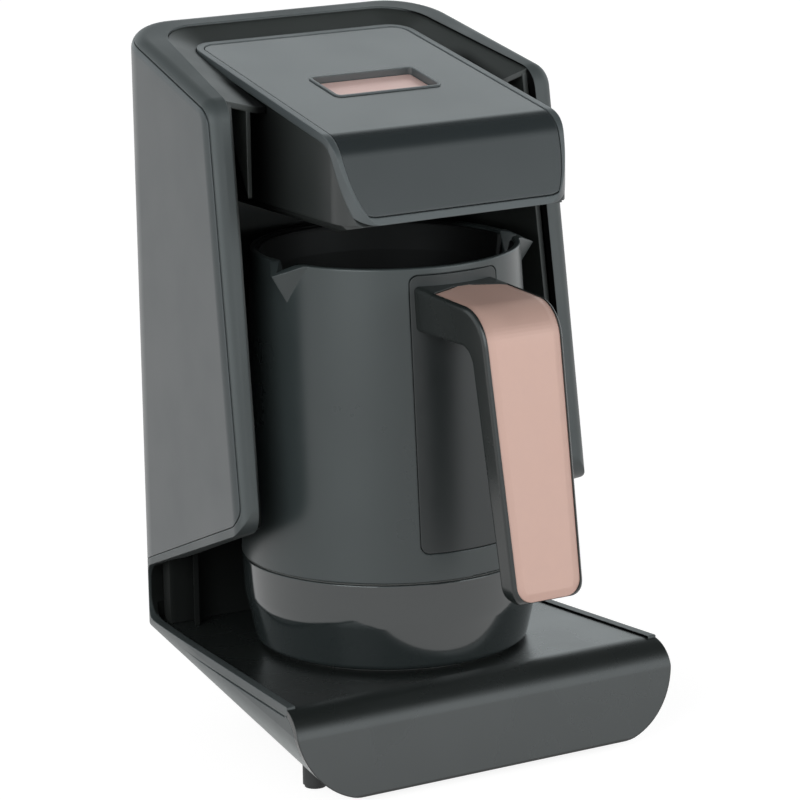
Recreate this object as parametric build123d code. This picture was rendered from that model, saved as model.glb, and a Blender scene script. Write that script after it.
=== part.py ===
from build123d import *
import os
from math import atan, cos, degrees, hypot, radians, sin

# Electric Turkish coffee maker: a C-shaped stand with an overhanging head, and a jug that lifts off.
# Millimetres, +Z up, front towards -Y. Everything is laid out about the jug's axis on the floor, and the
# finished pieces are moved back at the end so that the origin is the bottom centre of the whole object.

# ---------------------------------------------------------------- driving dimensions
seat = 0.02                 # clearance between faces that rest on each other
runGap = 0.3                # clearance beside a piece that is slid or dropped in

# stand, plan
bodyHalfWidth = 69.0        # half width beside the jug's axis
bodyFlare = 0.095           # widening of each side per mm towards the front
backReach = 78.5            # back wall behind the jug's axis
rearCornerRadius = 22.0
housingWall = 2.4

# base, side view
deckHeight = 33.8
rimRise = 0.6               # side rim above the deck
rimWidth = 3.2
rimEdge = 0.4
deckWall = 2.4
hullRearHeight = 26.0       # underside at the back wall
hullRearRadius = 3.5
lipReach = 67.5             # foot of the front lip, ahead of the axis
lipTopReach = 61.5          # where the lip would meet the deck without its roll
lipLowHeight = 2.4
lipEdge = 0.8
rollRadius = 11.0
bilgeFrontRadius = 27.0     # rounded lower corners of the hull, at the front
bilgeRearRadius = 14.0
bilgeSpread = 1.12          # how far the rounding runs past its radius
lipStart = 55.0             # ahead of this the lip spans the full width

# jug, heights and radii
jugFootHeight = deckHeight + 0.8
cupHeight = 31.4
jugSeamHeight = jugFootHeight + cupHeight
shellHeight = 107.6
jugRimHeight = jugSeamHeight + shellHeight
jugRimRadius = 46.4
jugSeamRadius = 52.0
jugFootRadius = 47.3
jugWall = 2.2
jugLift = 12.0              # how far the jug is lifted to clear the coupling

# head, heights over the jug
headClearance = jugLift + 1.6           # jug's rim to the head's underside
headBottom = jugRimHeight + headClearance
headRimLow = headBottom + 4.3
headTopHeight = headBottom + 40.7       # top of the head beside the axis
headTopSlope = 0.204

# wings, side view
wingTopHeight = headTopHeight + 0.5     # wing top beside the jug's axis
wingTopSlope = 0.24         # rise per mm towards the back
crownRadius = 5.0           # rounding of the wings' outer edge, over the top and down the front
wingFrontTop = -1.5         # y of the wing's front edge at its top
wingFrontLow = -20.5        # y of the wing's front edge at its foot
wingCornerRadius = 9.0
notchReach = backReach - 12.5           # depth of the side notch, behind the axis
notchTopHeight = deckHeight + 19.4      # upper corner of the notch's closed end
wingLowHeight = notchTopHeight + 32.4   # height of the wing's front lower corner
notchRadius = 8.0

# wing inside and liner
bandWidth = 8.8             # width of the wing's top band beside the axis
bayHalfWidth = bodyHalfWidth - bandWidth
bayTaper = 0.15
bayBack = backReach - 10.5
bayCornerRadius = 16.0
linerBack = bayBack - 11.0  # back face of the liner's rear wall
linerWall = 2.0
linerSetBack = 3.5          # liner's front edge behind the wing's front edge
linerEdge = 3.0
ledgeStep = 0.6             # ledge below the wing top, where it leaves the wing
ledgeDrop = 4.0             # ledge below the wing top, beside the head
ledgeWall = 2.0
ledgeRun = 12.0             # width over which the ledge slopes down
ribPlace = bayHalfWidth - 8.8
ribThickness = 1.6
ribHeight = 30.5
ribDepth = 18.0
footSetBack = 3.0           # column foot inside the housing wall
footCornerRadius = 6.0

# side panels and grooves
panelThickness = 1.5
panelGap = 0.35
grooveWidth = 0.8
grooveDepth = 0.8
grooveEnd = 6.0             # the groove stops this far ahead of the notch's closed end
panelEdge = 3.4             # panel outline inside the wing's lower edge
panelFrontEdge = 2.0
panelTopEdge = 2.6
panelWrap = bodyHalfWidth - bodyFlare * backReach - rearCornerRadius - 2.0   # half width of the bare back wall
panelCornerRadius = 7.0

# head
headHalfWidth = bayHalfWidth - 15.8
headFlare = 0.018
headBack = linerBack + 0.5
headFrontTop = 42.1         # where the front plane meets the top plane, ahead of the axis
headFrontLow = 53.0
headRollRadius = 12.0
headPlanRadius = 13.0
headBackRadius = 8.0
headCornerRadius = 12.0
headWall = 2.4
capThickness = 2.8
inlayThickness = 1.4
inlayBorder = 2.8
inlayGap = 0.35
inlayDip = 0.15             # the top panel lies this much below its frame
bodyStep = 2.6              # lower body set back under the rim
bodyEdge = 6.0
chinReach = 33.0            # the underside is level behind this and rises ahead of it
collarInset = 0.4
rearTop = headTopHeight - 5.9           # top of the head's rear box, inside the column
headBossHeight = 6.0
headScrewFront = 26.0
headScrewBack = headBack - 17.5
shelfPlace = 34.0
shelfHalf = 5.0
shelfHeight = 14.0
shelfReach = 4.0            # the shelves start this far ahead of the notch's closed end
shelfScrewY = backReach - 9.5
columnScrewPlace = 34.0
columnScrewHeight = 120.0
sensorReach = 14.0
sensorRadius = 5.0
sensorCanRadius = 3.6
sensorCanHeight = 5.0
sensorBoardHalf = 8.0

# start button and its window
windowHalfWidth = 20.0
windowBack = 14.0
windowFront = -4.3
windowRadius = 1.6
bezelWidth = 1.1
bezelDepth = 3.0
bezelProud = 0.25
buttonGap = 0.35
buttonRecess = 2.2
buttonThickness = 3.0
buttonTravel = 1.2
stemRadius = 2.2
stemGap = 0.05
springRoom = 3.2
springWire = 0.35
springTurns = 3
guideGrow = 3.0
guideWall = 1.4
guideLength = 6.0
switchSize = 6.0
switchHeight = 1.6
switchKnob = 0.9
switchKnobRadius = 1.6
lampPlace = 9.0
lampHeight = 1.2
lampWidth = 3.0
lampDepth = 2.0
pipePlace = 10.5
pipeLeg = 2.4
pipeHeight = 2.0
userBoardLength = 64.0
userBoardDepth = 34.0
userPostX = 28.0
userPostY = 13.0
userPostRadius = 2.4
plugPlace = 9.0
plugHeight = 4.0
plugWidth = 6.0
plugDepth = 5.0

# jug, walls and what they hold
seamGap = 0.5
spoutReach = jugRimRadius + 7.2
spoutDrop = 3.4
spoutLow = jugRimHeight - 13.0
spoutHalfWidth = 8.0
spoutWall = 0.9
spoutAngle = 13.7           # spouts stand this many degrees ahead of the sides
potWall = 0.9
potTopRadius = jugRimRadius - 4.0
potFootRadius = jugRimRadius - 10.4
potFootHeight = jugSeamHeight + 6.0
potFloorRadius = 6.0
potFlareHeight = 9.0        # height of the pot's flared rim
potRimHeight = 2.0
potRimDrop = 1.2
potGap = 0.9
heatingPlateThickness = 3.0
plateHalfWidth = 17.0
plateLow = jugSeamHeight + 10.4
plateHigh = jugRimHeight - 2.6
plateThickness = 1.1
plateGap = 0.3
plateRadius = 3.0
cupWall = 2.4
cupBellyRadius = jugSeamRadius - 0.8
cupBellyHeight = jugFootHeight + 17.4
jugScrewReach = jugFootRadius - 5.8
screwAngles = (30, 150, 270)
shellPostHeight = 18.0
carrierDrop = 4.0
carrierThickness = 2.2
carrierRadius = jugSeamRadius - 6.5
carrierBore = 27.5
carrierWall = 1.0
carrierRise = 8.0
lugThickness = 1.5
gasketInset = 0.6
elementReach = 22.0
elementTube = 2.4
coldEnd = 11.0
thermostatRadius = 7.0
thermostatHeight = 6.0

# handle
armHeight = jugRimHeight - 6.0
armThickness = 15.3
gripTopReach = jugRimRadius + 39.1
gripFootReach = gripTopReach + 16.3
gripFootHeight = jugSeamHeight + 2.2
gripFootDepth = 9.3
gripTopDepth = 10.6
gripBendRadius = 14.0
gripInnerRadius = 7.0
gripFootRadius = 3.6
gripTopHalfWidth = 15.9
gripFootHalfWidth = 13.6
gripCornerRadius = 7.0
gripEdgeRadius = 1.8
inlayDepth = 1.6
inlaySide = 1.3
pinkGap = 0.12
pinkStart = jugRimRadius + 3.6
pinkPoint = 4.0             # half width of the copper strip's end
pinkFoot = 2.2              # strip's lower end above the grip's foot
insertHalfWidth = 8.0
insertNear = jugRimRadius + 5.0
insertFar = jugRimRadius + 24.0
insertLow = 4.0             # above the arm's underside
insertHigh = 5.0            # below the arm's top
handleScrewPitch = 6.4

# power coupling under the jug
couplingHeadLength = 30.0
couplingHeadWidth = 20.0
couplingKeyRadius = 3.0
couplingCornerRadius = 8.0
couplingGap = 0.3
couplingRise = 9.0
couplingScrewBite = 1.2
contactPitch = 9.0
contactRadius = 1.5
pinRise = 0.8
pinTail = 6.5
couplingFlange = 25.0
couplingFlangeThickness = 2.6
socketGap = 0.6
socketWall = 1.8
socketFlange = 5.0
socketRecess = 0.6
socketHeadroom = 1.2
socketRoof = 2.0
sleeveLength = 7.0

# base plinth, feet and fasteners
plinthHalfWidth = 33.0
plinthFront = 40.0
plinthBack = 38.0
plinthLow = 2.0
plinthWall = 2.0
plinthRadius = 6.0
plinthOpening = 28.0
plinthBorder = 5.0
plinthBossHeight = 6.5
bossRadius = 4.0
screwRadius = 1.5
screwHeadRadius = 2.8
screwHeadHeight = 1.8
screwLength = 9.0
screwSink = 0.3             # screw heads below the face they are sunk in
frontFootX = 56.0
frontFootY = 41.0
frontFootSeat = 2.8         # the front feet reach this far into the hull
footRadius = 4.2
rearFootX = 19.0
rearFootY = 21.0
rearFootRadius = 6.0
padOuterRadius = jugFootRadius - 3.3
padInnerRadius = padOuterRadius - 8.0

# electronics
boardThickness = 1.6
boardLength = 96.0
boardDepth = 26.0
boardPlace = -36.0          # y of the power board's centre
standoff = 3.0
boardPostY = 9.0
boardBossRadius = 3.0
relayX = -32.5
relayLength = 15.0
relayDepth = 15.0
relayRoom = 3.0             # relay's top below the deck
transformerX = -12.0
transformerLength = 18.0
transformerDepth = 18.0
transformerHeight = 10.0
coilLength = 12.0
coilDepth = 22.0
coilInset = 1.5
capacitorX = 4.0
capacitorY = -4.0           # from the board's centre line
capacitorRadius = 4.0
capacitorHeight = 8.0
fuseX = 15.0
fuseY = -9.0
fuseRadius = 2.6
fuseLength = 12.0
varistorX = 4.5
varistorY = 6.5
varistorLength = 7.0
varistorDepth = 3.0
varistorHeight = 8.0
buzzerX = 35.0
buzzerY = 2.0
buzzerRadius = 4.5
buzzerHeight = 6.5
buzzerHole = 1.0
harnessRadius = 1.8
harnessX = 22.0
harnessBend = 5.0
harnessStart = -26.0
harnessPlugHalf = 4.0
harnessRear = backReach - 6.6
glandX = -24.0
glandHeight = deckHeight + 9.2
cordBore = 3.4
clampPlace = notchReach - 3.5
clampHalfWidth = 8.0
clampHalfDepth = 3.0
clampPinch = 0.4
glandBody = 5.2
glandFlange = 8.0
glandFlangeThickness = 2.0
glandGrip = 3.0             # sleeve inside the wall

# levels that follow from the sizes above
rimHeight = deckHeight + rimRise
deckUnder = deckHeight - deckWall
lipBack = lipReach - deckWall - seat
lipTopBack = lipTopReach - deckWall - seat
deckBack = notchReach - seat
plateUnder = potFootHeight - heatingPlateThickness - seat
carrierTop = plateUnder - carrierDrop
buttonFoot = buttonRecess + buttonThickness
guideTop = buttonFoot + buttonTravel + springRoom
stemLow = guideTop + guideLength + 0.8
boardDepthBelow = stemLow + buttonTravel + 0.1 + switchKnob + switchHeight
headJoint = headBottom + headWall + headBossHeight
spoutTipHeight = jugRimHeight - spoutDrop
topLimit = wingTopHeight + wingTopSlope * backReach + 20
frontLimit = -(lipReach + 15)
farLimit = gripFootReach + 30           # well past everything, for cutting blocks


# ---------------------------------------------------------------- shared geometry
def halfWidth(y):
    return bodyHalfWidth - bodyFlare * y


def wingTop(y):
    return wingTopHeight + wingTopSlope * y


def headTop(y):
    return headTopHeight + headTopSlope * y


def hullSlope():
    return (hullRearHeight - lipLowHeight) / (backReach + lipReach)


def hullHeight(y):
    return lipLowHeight + hullSlope() * (y + lipReach)


def boardLevel():
    return hullHeight(boardPlace + boardDepth / 2) + housingWall + standoff


def bayHalf(y):
    return bayHalfWidth - bayTaper * y


boardLow = boardLevel()
boardTop = boardLow + boardThickness


def roundedFace(corners):
    """Closed face from (u, v, radius) corners; a radius of 0 leaves the corner sharp."""
    starts, ends, arcs = [], [], []
    count = len(corners)
    for index in range(count):
        u, v, radius = corners[index]
        before, after = corners[index - 1], corners[(index + 1) % count]
        inLength = hypot(before[0] - u, before[1] - v)
        outLength = hypot(after[0] - u, after[1] - v)
        inDir = ((before[0] - u) / inLength, (before[1] - v) / inLength)
        outDir = ((after[0] - u) / outLength, (after[1] - v) / outLength)
        if radius == 0:
            starts.append((u, v))
            ends.append((u, v))
            arcs.append(None)
            continue
        middle = (inDir[0] + outDir[0], inDir[1] + outDir[1])
        size = hypot(*middle)
        cosHalf = size / 2
        sinHalf = (1 - cosHalf ** 2) ** 0.5
        run = radius * cosHalf / sinHalf
        reach = radius / sinHalf
        bisector = (middle[0] / size, middle[1] / size)
        starts.append((u + inDir[0] * run, v + inDir[1] * run))
        ends.append((u + outDir[0] * run, v + outDir[1] * run))
        arcs.append((u + bisector[0] * (reach - radius), v + bisector[1] * (reach - radius)))
    edges = []
    for index in range(count):
        if arcs[index]:
            edges.append(Edge.make_three_point_arc(starts[index], arcs[index], ends[index]))
        edges.append(Edge.make_line(ends[index], starts[(index + 1) % count]))
    return Face(Wire(edges))


def sideBlock(corners, low, high):
    """Side-view outline (y, z) carried across from x = low to x = high."""
    return extrude(Plane.YZ.offset(low) * roundedFace(corners), high - low, dir=(1, 0, 0))


def planBlock(corners, low, high):
    return extrude(Plane.XY.offset(low) * roundedFace(corners), high - low, dir=(0, 0, 1))


def frontBlock(corners, low, high):
    """Front-view outline (x, z) carried back from y = low to y = high."""
    return extrude(Plane.XZ.offset(-low) * roundedFace(corners), high - low, dir=(0, 1, 0))


def box(xLow, xHigh, yLow, yHigh, zLow, zHigh):
    return Pos((xLow + xHigh) / 2, (yLow + yHigh) / 2, (zLow + zHigh) / 2) * Box(
        xHigh - xLow, yHigh - yLow, zHigh - zLow)


def post(x, y, low, high, radius):
    return Pos(x, y, (low + high) / 2) * Cylinder(radius, high - low)


def mirrored(part):
    return mirror(part, Plane.YZ)


def envelope(inset):
    """Plan of the stand, wider towards the front, with rounded rear corners."""
    back = backReach - inset
    corner = rearCornerRadius - inset
    front = halfWidth(frontLimit) - inset
    rear = halfWidth(back) - inset
    return planBlock([(-front, frontLimit, 0), (front, frontLimit, 0), (rear, back, corner),
                      (-rear, back, corner)], -5, topLimit)


def bilgeCutter(inset):
    """What the rounded lower corners of the hull take away on the right side."""
    sections = []
    for y, radius in ((frontLimit, bilgeFrontRadius), (backReach + 5, bilgeRearRadius)):
        side = halfWidth(y) - inset
        low = hullHeight(y) + inset
        corner = radius - inset
        over = bilgeSpread * corner
        mid = corner * (1 - cos(radians(45)))
        edges = [
            Edge.make_three_point_arc((side + 0.25, low + over), (side - mid, low + mid),
                                      (side - over, low - 0.25)),
            Edge.make_line((side - over, low - 0.25), (side - over, low - 30)),
            Edge.make_line((side - over, low - 30), (side + 30, low - 30)),
            Edge.make_line((side + 30, low - 30), (side + 30, low + over)),
            Edge.make_line((side + 30, low + over), (side + 0.25, low + over))]
        sections.append(Plane.XZ.offset(-y) * Face(Wire(edges)))
    return Solid.make_loft([section.outer_wire() for section in sections], ruled=True)


def cutBilges(part, inset):
    cutter = bilgeCutter(inset)
    return part - cutter - mirrored(cutter)


def notchRise():
    """Slope of the wing's lower edge, which falls towards the back."""
    return (wingLowHeight - notchTopHeight) / (notchReach - wingFrontLow)


def wingCorners(inset):
    """Side view of a wing; the inset moves every edge inwards."""
    rise = notchRise()
    topFront = wingTop(wingFrontTop) - inset
    lowBack = wingLowHeight - rise * (backReach - inset - wingFrontLow) + inset
    return [(wingFrontTop + inset, topFront, max(wingCornerRadius - inset, 1)),
            (backReach - inset, wingTop(backReach) - inset, 0),
            (backReach - inset, lowBack, 0),
            (wingFrontLow + inset + wingSlant() * inset, wingLowHeight + inset,
             max(wingCornerRadius - inset, 1))]


def crownShape(inset):
    """Outside of the wings above the base: plan envelope, sloped top and slanted front, with a rounded edge."""
    slant = wingSlant()
    low = rimHeight
    front = wingFrontLow - slant * (wingLowHeight - low) + inset
    side = [(wingFrontTop + inset, wingTop(wingFrontTop) - inset, wingCornerRadius),
            (backReach, wingTop(backReach) - inset, 0), (backReach, low, 0), (front, low, 0)]
    block = sideBlock(side, -farLimit, farLimit) & envelope(inset)
    outline = block.edges().filter_by(lambda edge: edge.center().Z > low + 1 and not isAcross(edge, front))
    outline = outline.filter_by(lambda edge: not isUpright(edge))
    return block.fillet(max(crownRadius - inset, 1.0), outline)


def wingSlant():
    """How far the wing's front edge lies back per mm of height."""
    return (wingFrontTop - wingFrontLow) / (wingTop(wingFrontTop) - wingLowHeight)


def isAcross(edge, front):
    """True for the straight edges that run from wing to wing ahead of the back wall."""
    size = edge.bounding_box().size
    return size.X > bodyHalfWidth and edge.center().Y < backReach / 2


def isUpright(edge):
    size = edge.bounding_box().size
    return size.Z > 10 and size.X < 0.01 and size.Y < 0.01


def bayCorners(inset, back, corner):
    front = frontLimit
    return [(-(bayHalf(front) - inset), front, 0), (bayHalf(front) - inset, front, 0),
            (bayHalf(back) - inset, back, corner), (-(bayHalf(back) - inset), back, corner)]


# ---------------------------------------------------------------- stand: housing, panels, liner, deck
def panelCorners(inset):
    """Side view of a side panel, a constant edge inside the wing's outline."""
    front, back, low = panelFrontEdge + inset, backReach + 5, panelEdge + inset
    top = panelTopEdge + inset
    lowFront = wingLowHeight + low - notchRise() * front
    return [(wingFrontTop + front, wingTop(wingFrontTop) - top, panelCornerRadius),
            (back, wingTop(back) - top, 0),
            (back, lowFront - notchRise() * (back - wingFrontLow), 0),
            (wingFrontLow + front + wingSlant() * low, lowFront, panelCornerRadius)]


def makeHousing():
    """Outer shell of the stand: wings, back wall and hull, open inside the bay and under the deck."""
    lipLean = (lipReach - lipTopReach) / (deckUnder - lipLowHeight)
    lipCorner = -lipBack + lipLean * (hullHeight(-lipBack) - lipLowHeight)
    corners = [(wingFrontTop, wingTop(wingFrontTop), wingCornerRadius),
               (backReach, wingTop(backReach), 0),
               (backReach, hullRearHeight, hullRearRadius),
               (lipCorner, hullHeight(-lipBack), 0),
               (-lipTopBack, deckUnder - seat, rollRadius - deckWall),
               (-(lipStart - seat), deckUnder - seat, 0),
               (-(lipStart - seat), rimHeight, rimEdge),
               (notchReach, rimHeight, notchRadius),
               (notchReach, notchTopHeight, notchRadius),
               (wingFrontLow, wingLowHeight, wingCornerRadius)]
    split = (rimHeight + notchTopHeight) / 2
    outer = cutBilges(sideBlock(corners, -farLimit, farLimit) & envelope(0), 0)
    outer = outer - (box(-farLimit, farLimit, -farLimit, farLimit, split, topLimit) - crownShape(0))
    inside = backReach - housingWall
    pocket = sideBlock(wingCorners(housingWall), -farLimit, farLimit) & crownShape(housingWall)
    bay = planBlock(bayCorners(0, bayBack, bayCornerRadius), rimHeight + 2, topLimit)
    hullPocket = sideBlock([(inside, hullHeight(backReach) + housingWall, 0),
                            (inside, notchTopHeight + 5, 0),
                            (notchReach, notchTopHeight + 5, 0),
                            (notchReach, rimHeight + 5, 0),
                            (-(lipBack + 5), rimHeight + 5, 0),
                            (-(lipBack + 5), hullHeight(-lipBack - 5) + housingWall, 0)], -farLimit, farLimit)
    hullPocket = cutBilges(hullPocket & envelope(rimWidth), rimWidth)
    corner = box(-farLimit, farLimit, notchReach, backReach, deckUnder, topLimit)
    corner = corner - box(-panelWrap, panelWrap, 0, inside, 0, topLimit)
    housing = outer - pocket - bay - (hullPocket - corner)
    for side in (1, -1):
        recess = sideBlock(panelCorners(-panelGap), min(0, side * farLimit), max(0, side * farLimit))
        recess = recess - crownShape(panelThickness + seat)
        wrap = panelWrap - panelGap
        housing = housing - (recess - box(-wrap, wrap, -farLimit, farLimit, 0, topLimit))
    root = inside + housingWall / 4
    for side in (1, -1):
        shelf = box(side * shelfPlace - shelfHalf, side * shelfPlace + shelfHalf, notchReach - shelfReach,
                    root, headBottom - shelfHeight, headBottom - seat)
        depth = root - linerBack - seat
        boss = Pos(side * columnScrewPlace, root - depth / 2, columnScrewHeight) * Rot(90, 0, 0)
        boss = boss * Cylinder(bossRadius, depth)
        housing = housing + shelf + boss
        housing = housing - post(side * shelfPlace, shelfScrewY, headBottom - shelfHeight + 2, headBottom,
                                 screwRadius)
        hole = Pos(side * columnScrewPlace, linerBack, columnScrewHeight) * Rot(90, 0, 0)
        housing = housing - hole * Cylinder(screwRadius, 14)
    opening = box(-plinthOpening, plinthOpening, -(plinthFront - plinthBorder), plinthBack - plinthBorder,
                  -5, deckHeight)
    housing = housing - opening - deckGroove() - glandBore()
    for x, y in bossPlaces():
        floor = hullHeight(y)
        boss = post(x, y, floor + 1.0, floor + plinthBossHeight, bossRadius)
        housing = housing + boss - post(x, y, floor - 3, floor + plinthBossHeight - 1, screwRadius)
    for x, y in boardPosts():
        boss = post(x, y, hullHeight(y) + 1.0, boardLow - seat, boardBossRadius)
        housing = housing + boss - post(x, y, hullHeight(y) + housingWall, boardLow, screwRadius)
    for x, y in frontFeet():
        housing = housing - post(x, y, -5, footSeat(y), footRadius + seat)
    return housing


def deckGroove():
    """Thin groove that runs below the rim along each side of the base."""
    low = rimHeight - rimWidth - grooveWidth
    strip = box(-farLimit, farLimit, -lipStart + 2, notchReach - grooveEnd, low, low + grooveWidth)
    return strip & (envelope(-2) - envelope(grooveDepth))


def bossPlaces():
    inset = bossRadius + plinthWall - 1
    return [(sx * (plinthHalfWidth - inset), y) for sx in (-1, 1)
            for y in (-(plinthFront - inset), plinthBack - inset)]


def frontFeet():
    return [(sx * frontFootX, -frontFootY) for sx in (-1, 1)]


def footSeat(y):
    return hullHeight(y) + frontFootSeat


def makeSidePanel(side):
    block = sideBlock(panelCorners(0), min(0, side * farLimit), max(0, side * farLimit))
    panel = block & (crownShape(0) - crownShape(panelThickness))
    return panel - box(-panelWrap, panelWrap, -farLimit, farLimit, 0, topLimit)


def ledgeTop(y):
    return wingTop(y) - ledgeDrop


def funnel(drop):
    """Space above the ledge: it starts beside the wing and slopes down and in towards the head."""
    sections = []
    for step, level in ((0.0, ledgeStep), (ledgeRun, ledgeDrop)):
        plane = Plane(origin=(0, 0, wingTopHeight - level - drop), x_dir=(1, 0, 0),
                      z_dir=(0, -wingTopSlope, 1))
        stretch = (1 + wingTopSlope ** 2) ** 0.5
        corners = [(x, y * stretch, radius) for x, y, radius in bayCorners(
            seat + step, bayBack - seat - step, bayCornerRadius - min(step, bayCornerRadius - 6))]
        sections.append(plane * roundedFace(corners))
    slope = Solid.make_loft([section.outer_wire() for section in sections], ruled=True)
    plane = Plane(origin=(0, 0, wingTopHeight - ledgeStep - drop), z_dir=(0, -wingTopSlope, 1))
    above = plane * (Pos(0, 0, farLimit / 2) * Box(4 * farLimit, 4 * farLimit, farLimit))
    return slope + above


def makeLiner():
    """Inner wall of the bay: wing linings and rear wall, the ledge beside the head, and the column foot."""
    corner = bayCornerRadius - 2
    floor = deckHeight + seat
    outer = planBlock(bayCorners(seat, linerBack, corner), floor, topLimit)
    inner = planBlock(bayCorners(linerWall, linerBack - linerWall, corner - linerWall), 0, topLimit)
    rear = linerBack - linerWall - corner / 2
    front = wingFrontTop + linerSetBack
    profile = [(front, wingTop(front) - ledgeStep, linerEdge),
               (bayBack, wingTop(bayBack) - ledgeStep, 0),
               (bayBack, floor, 0),
               (rear, floor, 0),
               (rear, wingLowHeight - notchRise() * (rear - wingFrontLow), 0),
               (wingFrontLow + linerSetBack, wingLowHeight, linerEdge)]
    walls = (outer - inner) & (sideBlock(profile, -farLimit, farLimit) - funnel(ledgeWall / 2))
    foot = columnFoot()
    plan = planBlock(bayCorners(seat, bayBack - seat, bayCornerRadius), 0, topLimit)
    plan = plan & box(-farLimit, farLimit, front, bayBack, 0, topLimit)
    ledge = plan & (funnel(ledgeWall) - funnel(0))
    ledge = ledge - headPlan(-runGap, 0, topLimit, headBack + runGap)
    rib = sideBlock([(front, ledgeTop(front), 0), (front + ribDepth, ledgeTop(front + ribDepth), 0),
                     (front, ledgeTop(front) - ribHeight, 0)],
                    ribPlace - ribThickness / 2, ribPlace + ribThickness / 2) - funnel(ledgeWall / 2)
    half = headHalf(linerBack) + runGap
    passage = box(-half, half, linerBack - corner, headBack + runGap, headBottom - runGap, topLimit)
    tunnel = box(-half, half, linerBack - corner, bayBack + 1, headBottom - runGap, rearTop + runGap)
    liner = (walls - passage) + foot + ledge + rib + mirrored(rib) - tunnel
    for side in (1, -1):
        liner = liner - Pos(side * columnScrewPlace, linerBack, columnScrewHeight) * Rot(90, 0, 0) * Cylinder(
            screwRadius + 0.05, linerWall * 4)
    return liner


def columnFoot():
    """Foot of the column between the deck and the wings, a smooth wall that closes the side notches."""
    floor, high = deckHeight + seat, notchTopHeight + 6
    front, back = linerBack - linerWall, notchReach - seat
    half = halfWidth(notchReach)
    outline = planBlock([(-half, front, footCornerRadius), (half, front, footCornerRadius), (half, back, 0),
                         (-half, back, 0)], floor, high) & envelope(housingWall + footSetBack)
    hollow = planBlock([(-half, front + linerWall, footCornerRadius - linerWall),
                        (half, front + linerWall, footCornerRadius - linerWall), (half, back + 1, 0),
                        (-half, back + 1, 0)], 0, high + 1) & envelope(housingWall + footSetBack + linerWall)
    tight = notchRadius + 1.5
    notch = [(frontLimit, floor, 0), (back, floor, tight), (back, notchTopHeight, tight),
             (wingFrontLow, wingLowHeight - seat, 0), (frontLimit, wingLowHeight, 0)]
    return (outline - hollow) & sideBlock(notch, -farLimit, farLimit)


def makeDeck():
    """Deck, roll and front lip in one sheet."""
    band = [(deckBack, deckHeight, 0), (-lipTopReach, deckHeight, rollRadius),
            (-lipReach, lipLowHeight, lipEdge), (-(lipReach - deckWall), lipLowHeight, lipEdge),
            (-(lipTopReach - deckWall), deckUnder, rollRadius - deckWall), (deckBack, deckUnder, 0)]
    high = deckHeight + 1
    between = envelope(rimWidth + seat) & box(-farLimit, farLimit, -lipStart, deckBack, 0, high)
    between = cutBilges(between, rimWidth + seat)
    lip = cutBilges(envelope(0) & box(-farLimit, farLimit, frontLimit, -lipStart, -5, high), 0)
    deck = sideBlock(band, -farLimit, farLimit) & (between + lip)
    deck = deck - couplingBlock(couplingGap, deckUnder - 1, deckHeight + 1)
    for x, y in couplingScrewPlaces():
        deck = deck - post(x, y, 0, deckUnder + couplingScrewBite, screwRadius)
    return deck


def couplingBlock(grow, low, high):
    """Block on the coupling's keyed outline: a long rounded rectangle with one blunted side."""
    half = couplingHeadLength / 2 + grow
    end = couplingHeadWidth / 2 + grow
    return planBlock([(-half, -end, couplingKeyRadius), (half, -end, couplingKeyRadius),
                      (half, end, couplingCornerRadius), (-half, end, couplingCornerRadius)], low, high)


def couplingScrewPlaces():
    reach = couplingFlange - 3.5
    return [(-reach, 0), (reach, 0)]


# ---------------------------------------------------------------- head
def headHalf(y):
    return headHalfWidth - headFlare * y


def headPlan(inset, low, high, back=headBack):
    """Plan of the head: the inset narrows it, and its front stays in line with the foot of the front face."""
    front = -headFrontLow
    corner, rear = headPlanRadius - inset, headBackRadius - inset
    return planBlock([(-(headHalf(front) - inset), front, corner), (headHalf(front) - inset, front, corner),
                      (headHalf(back) - inset, back, rear), (-(headHalf(back) - inset), back, rear)], low, high)


def headSlant():
    return (headFrontLow - headFrontTop) / (headTop(-headFrontTop) - headRimLow)


def headProfile(inset, low, radius):
    """Side view of the head down to z = low, with every outer face moved in by the inset."""
    slant = headSlant()
    topDrop = inset / cos(atan(headTopSlope))
    frontIn = inset / cos(atan(slant))
    cornerY = -headFrontTop + (frontIn - slant * topDrop) / (1 - slant * headTopSlope)
    cornerZ = headTop(cornerY) - topDrop
    lowY = cornerY - slant * (cornerZ - low)
    return [(headBack, headTop(headBack) - topDrop, 0), (cornerY, cornerZ, radius), (lowY, low, 0),
            (headBack, low, 0)]


def headFrontShape(inset, low, corner):
    half = headHalf(-headFrontLow) - inset
    return frontBlock([(-half - 3, topLimit, 0), (-half, low + inset, corner), (half, low + inset, corner),
                       (half + 3, topLimit, 0)], frontLimit, 100)


def headSheet(outerInset, innerInset, planInset):
    """Sheet that follows the head's top and front, between two insets."""
    low = headRimLow - 5
    reach = farLimit
    outer = sideBlock(headProfile(outerInset, low, max(headRollRadius - outerInset, 1)), -reach, reach)
    inner = sideBlock(headProfile(innerInset, low - 1, max(headRollRadius - innerInset, 1)), -reach, reach)
    sheet = outer - inner - box(-reach, reach, -reach, reach, low - 5, headRimLow)
    plan = headPlan(planInset, 0, topLimit, headBack - planInset)
    shape = headFrontShape(planInset, headRimLow, headCornerRadius - planInset)
    return sheet & plan & shape


def panelPlane(y, depth=0.0):
    """Plane on the head's top at y, its normal pointing out, sunk by a depth."""
    tilt = degrees(atan(headTopSlope))
    normal = (0, -sin(radians(tilt)), cos(radians(tilt)))
    return Plane(origin=(0, y, headTop(y)), x_dir=(1, 0, 0), z_dir=normal).offset(-depth)


windowMiddle = (windowBack + windowFront) / 2
windowDepthSize = (windowBack - windowFront) / cos(atan(headTopSlope))


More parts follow.
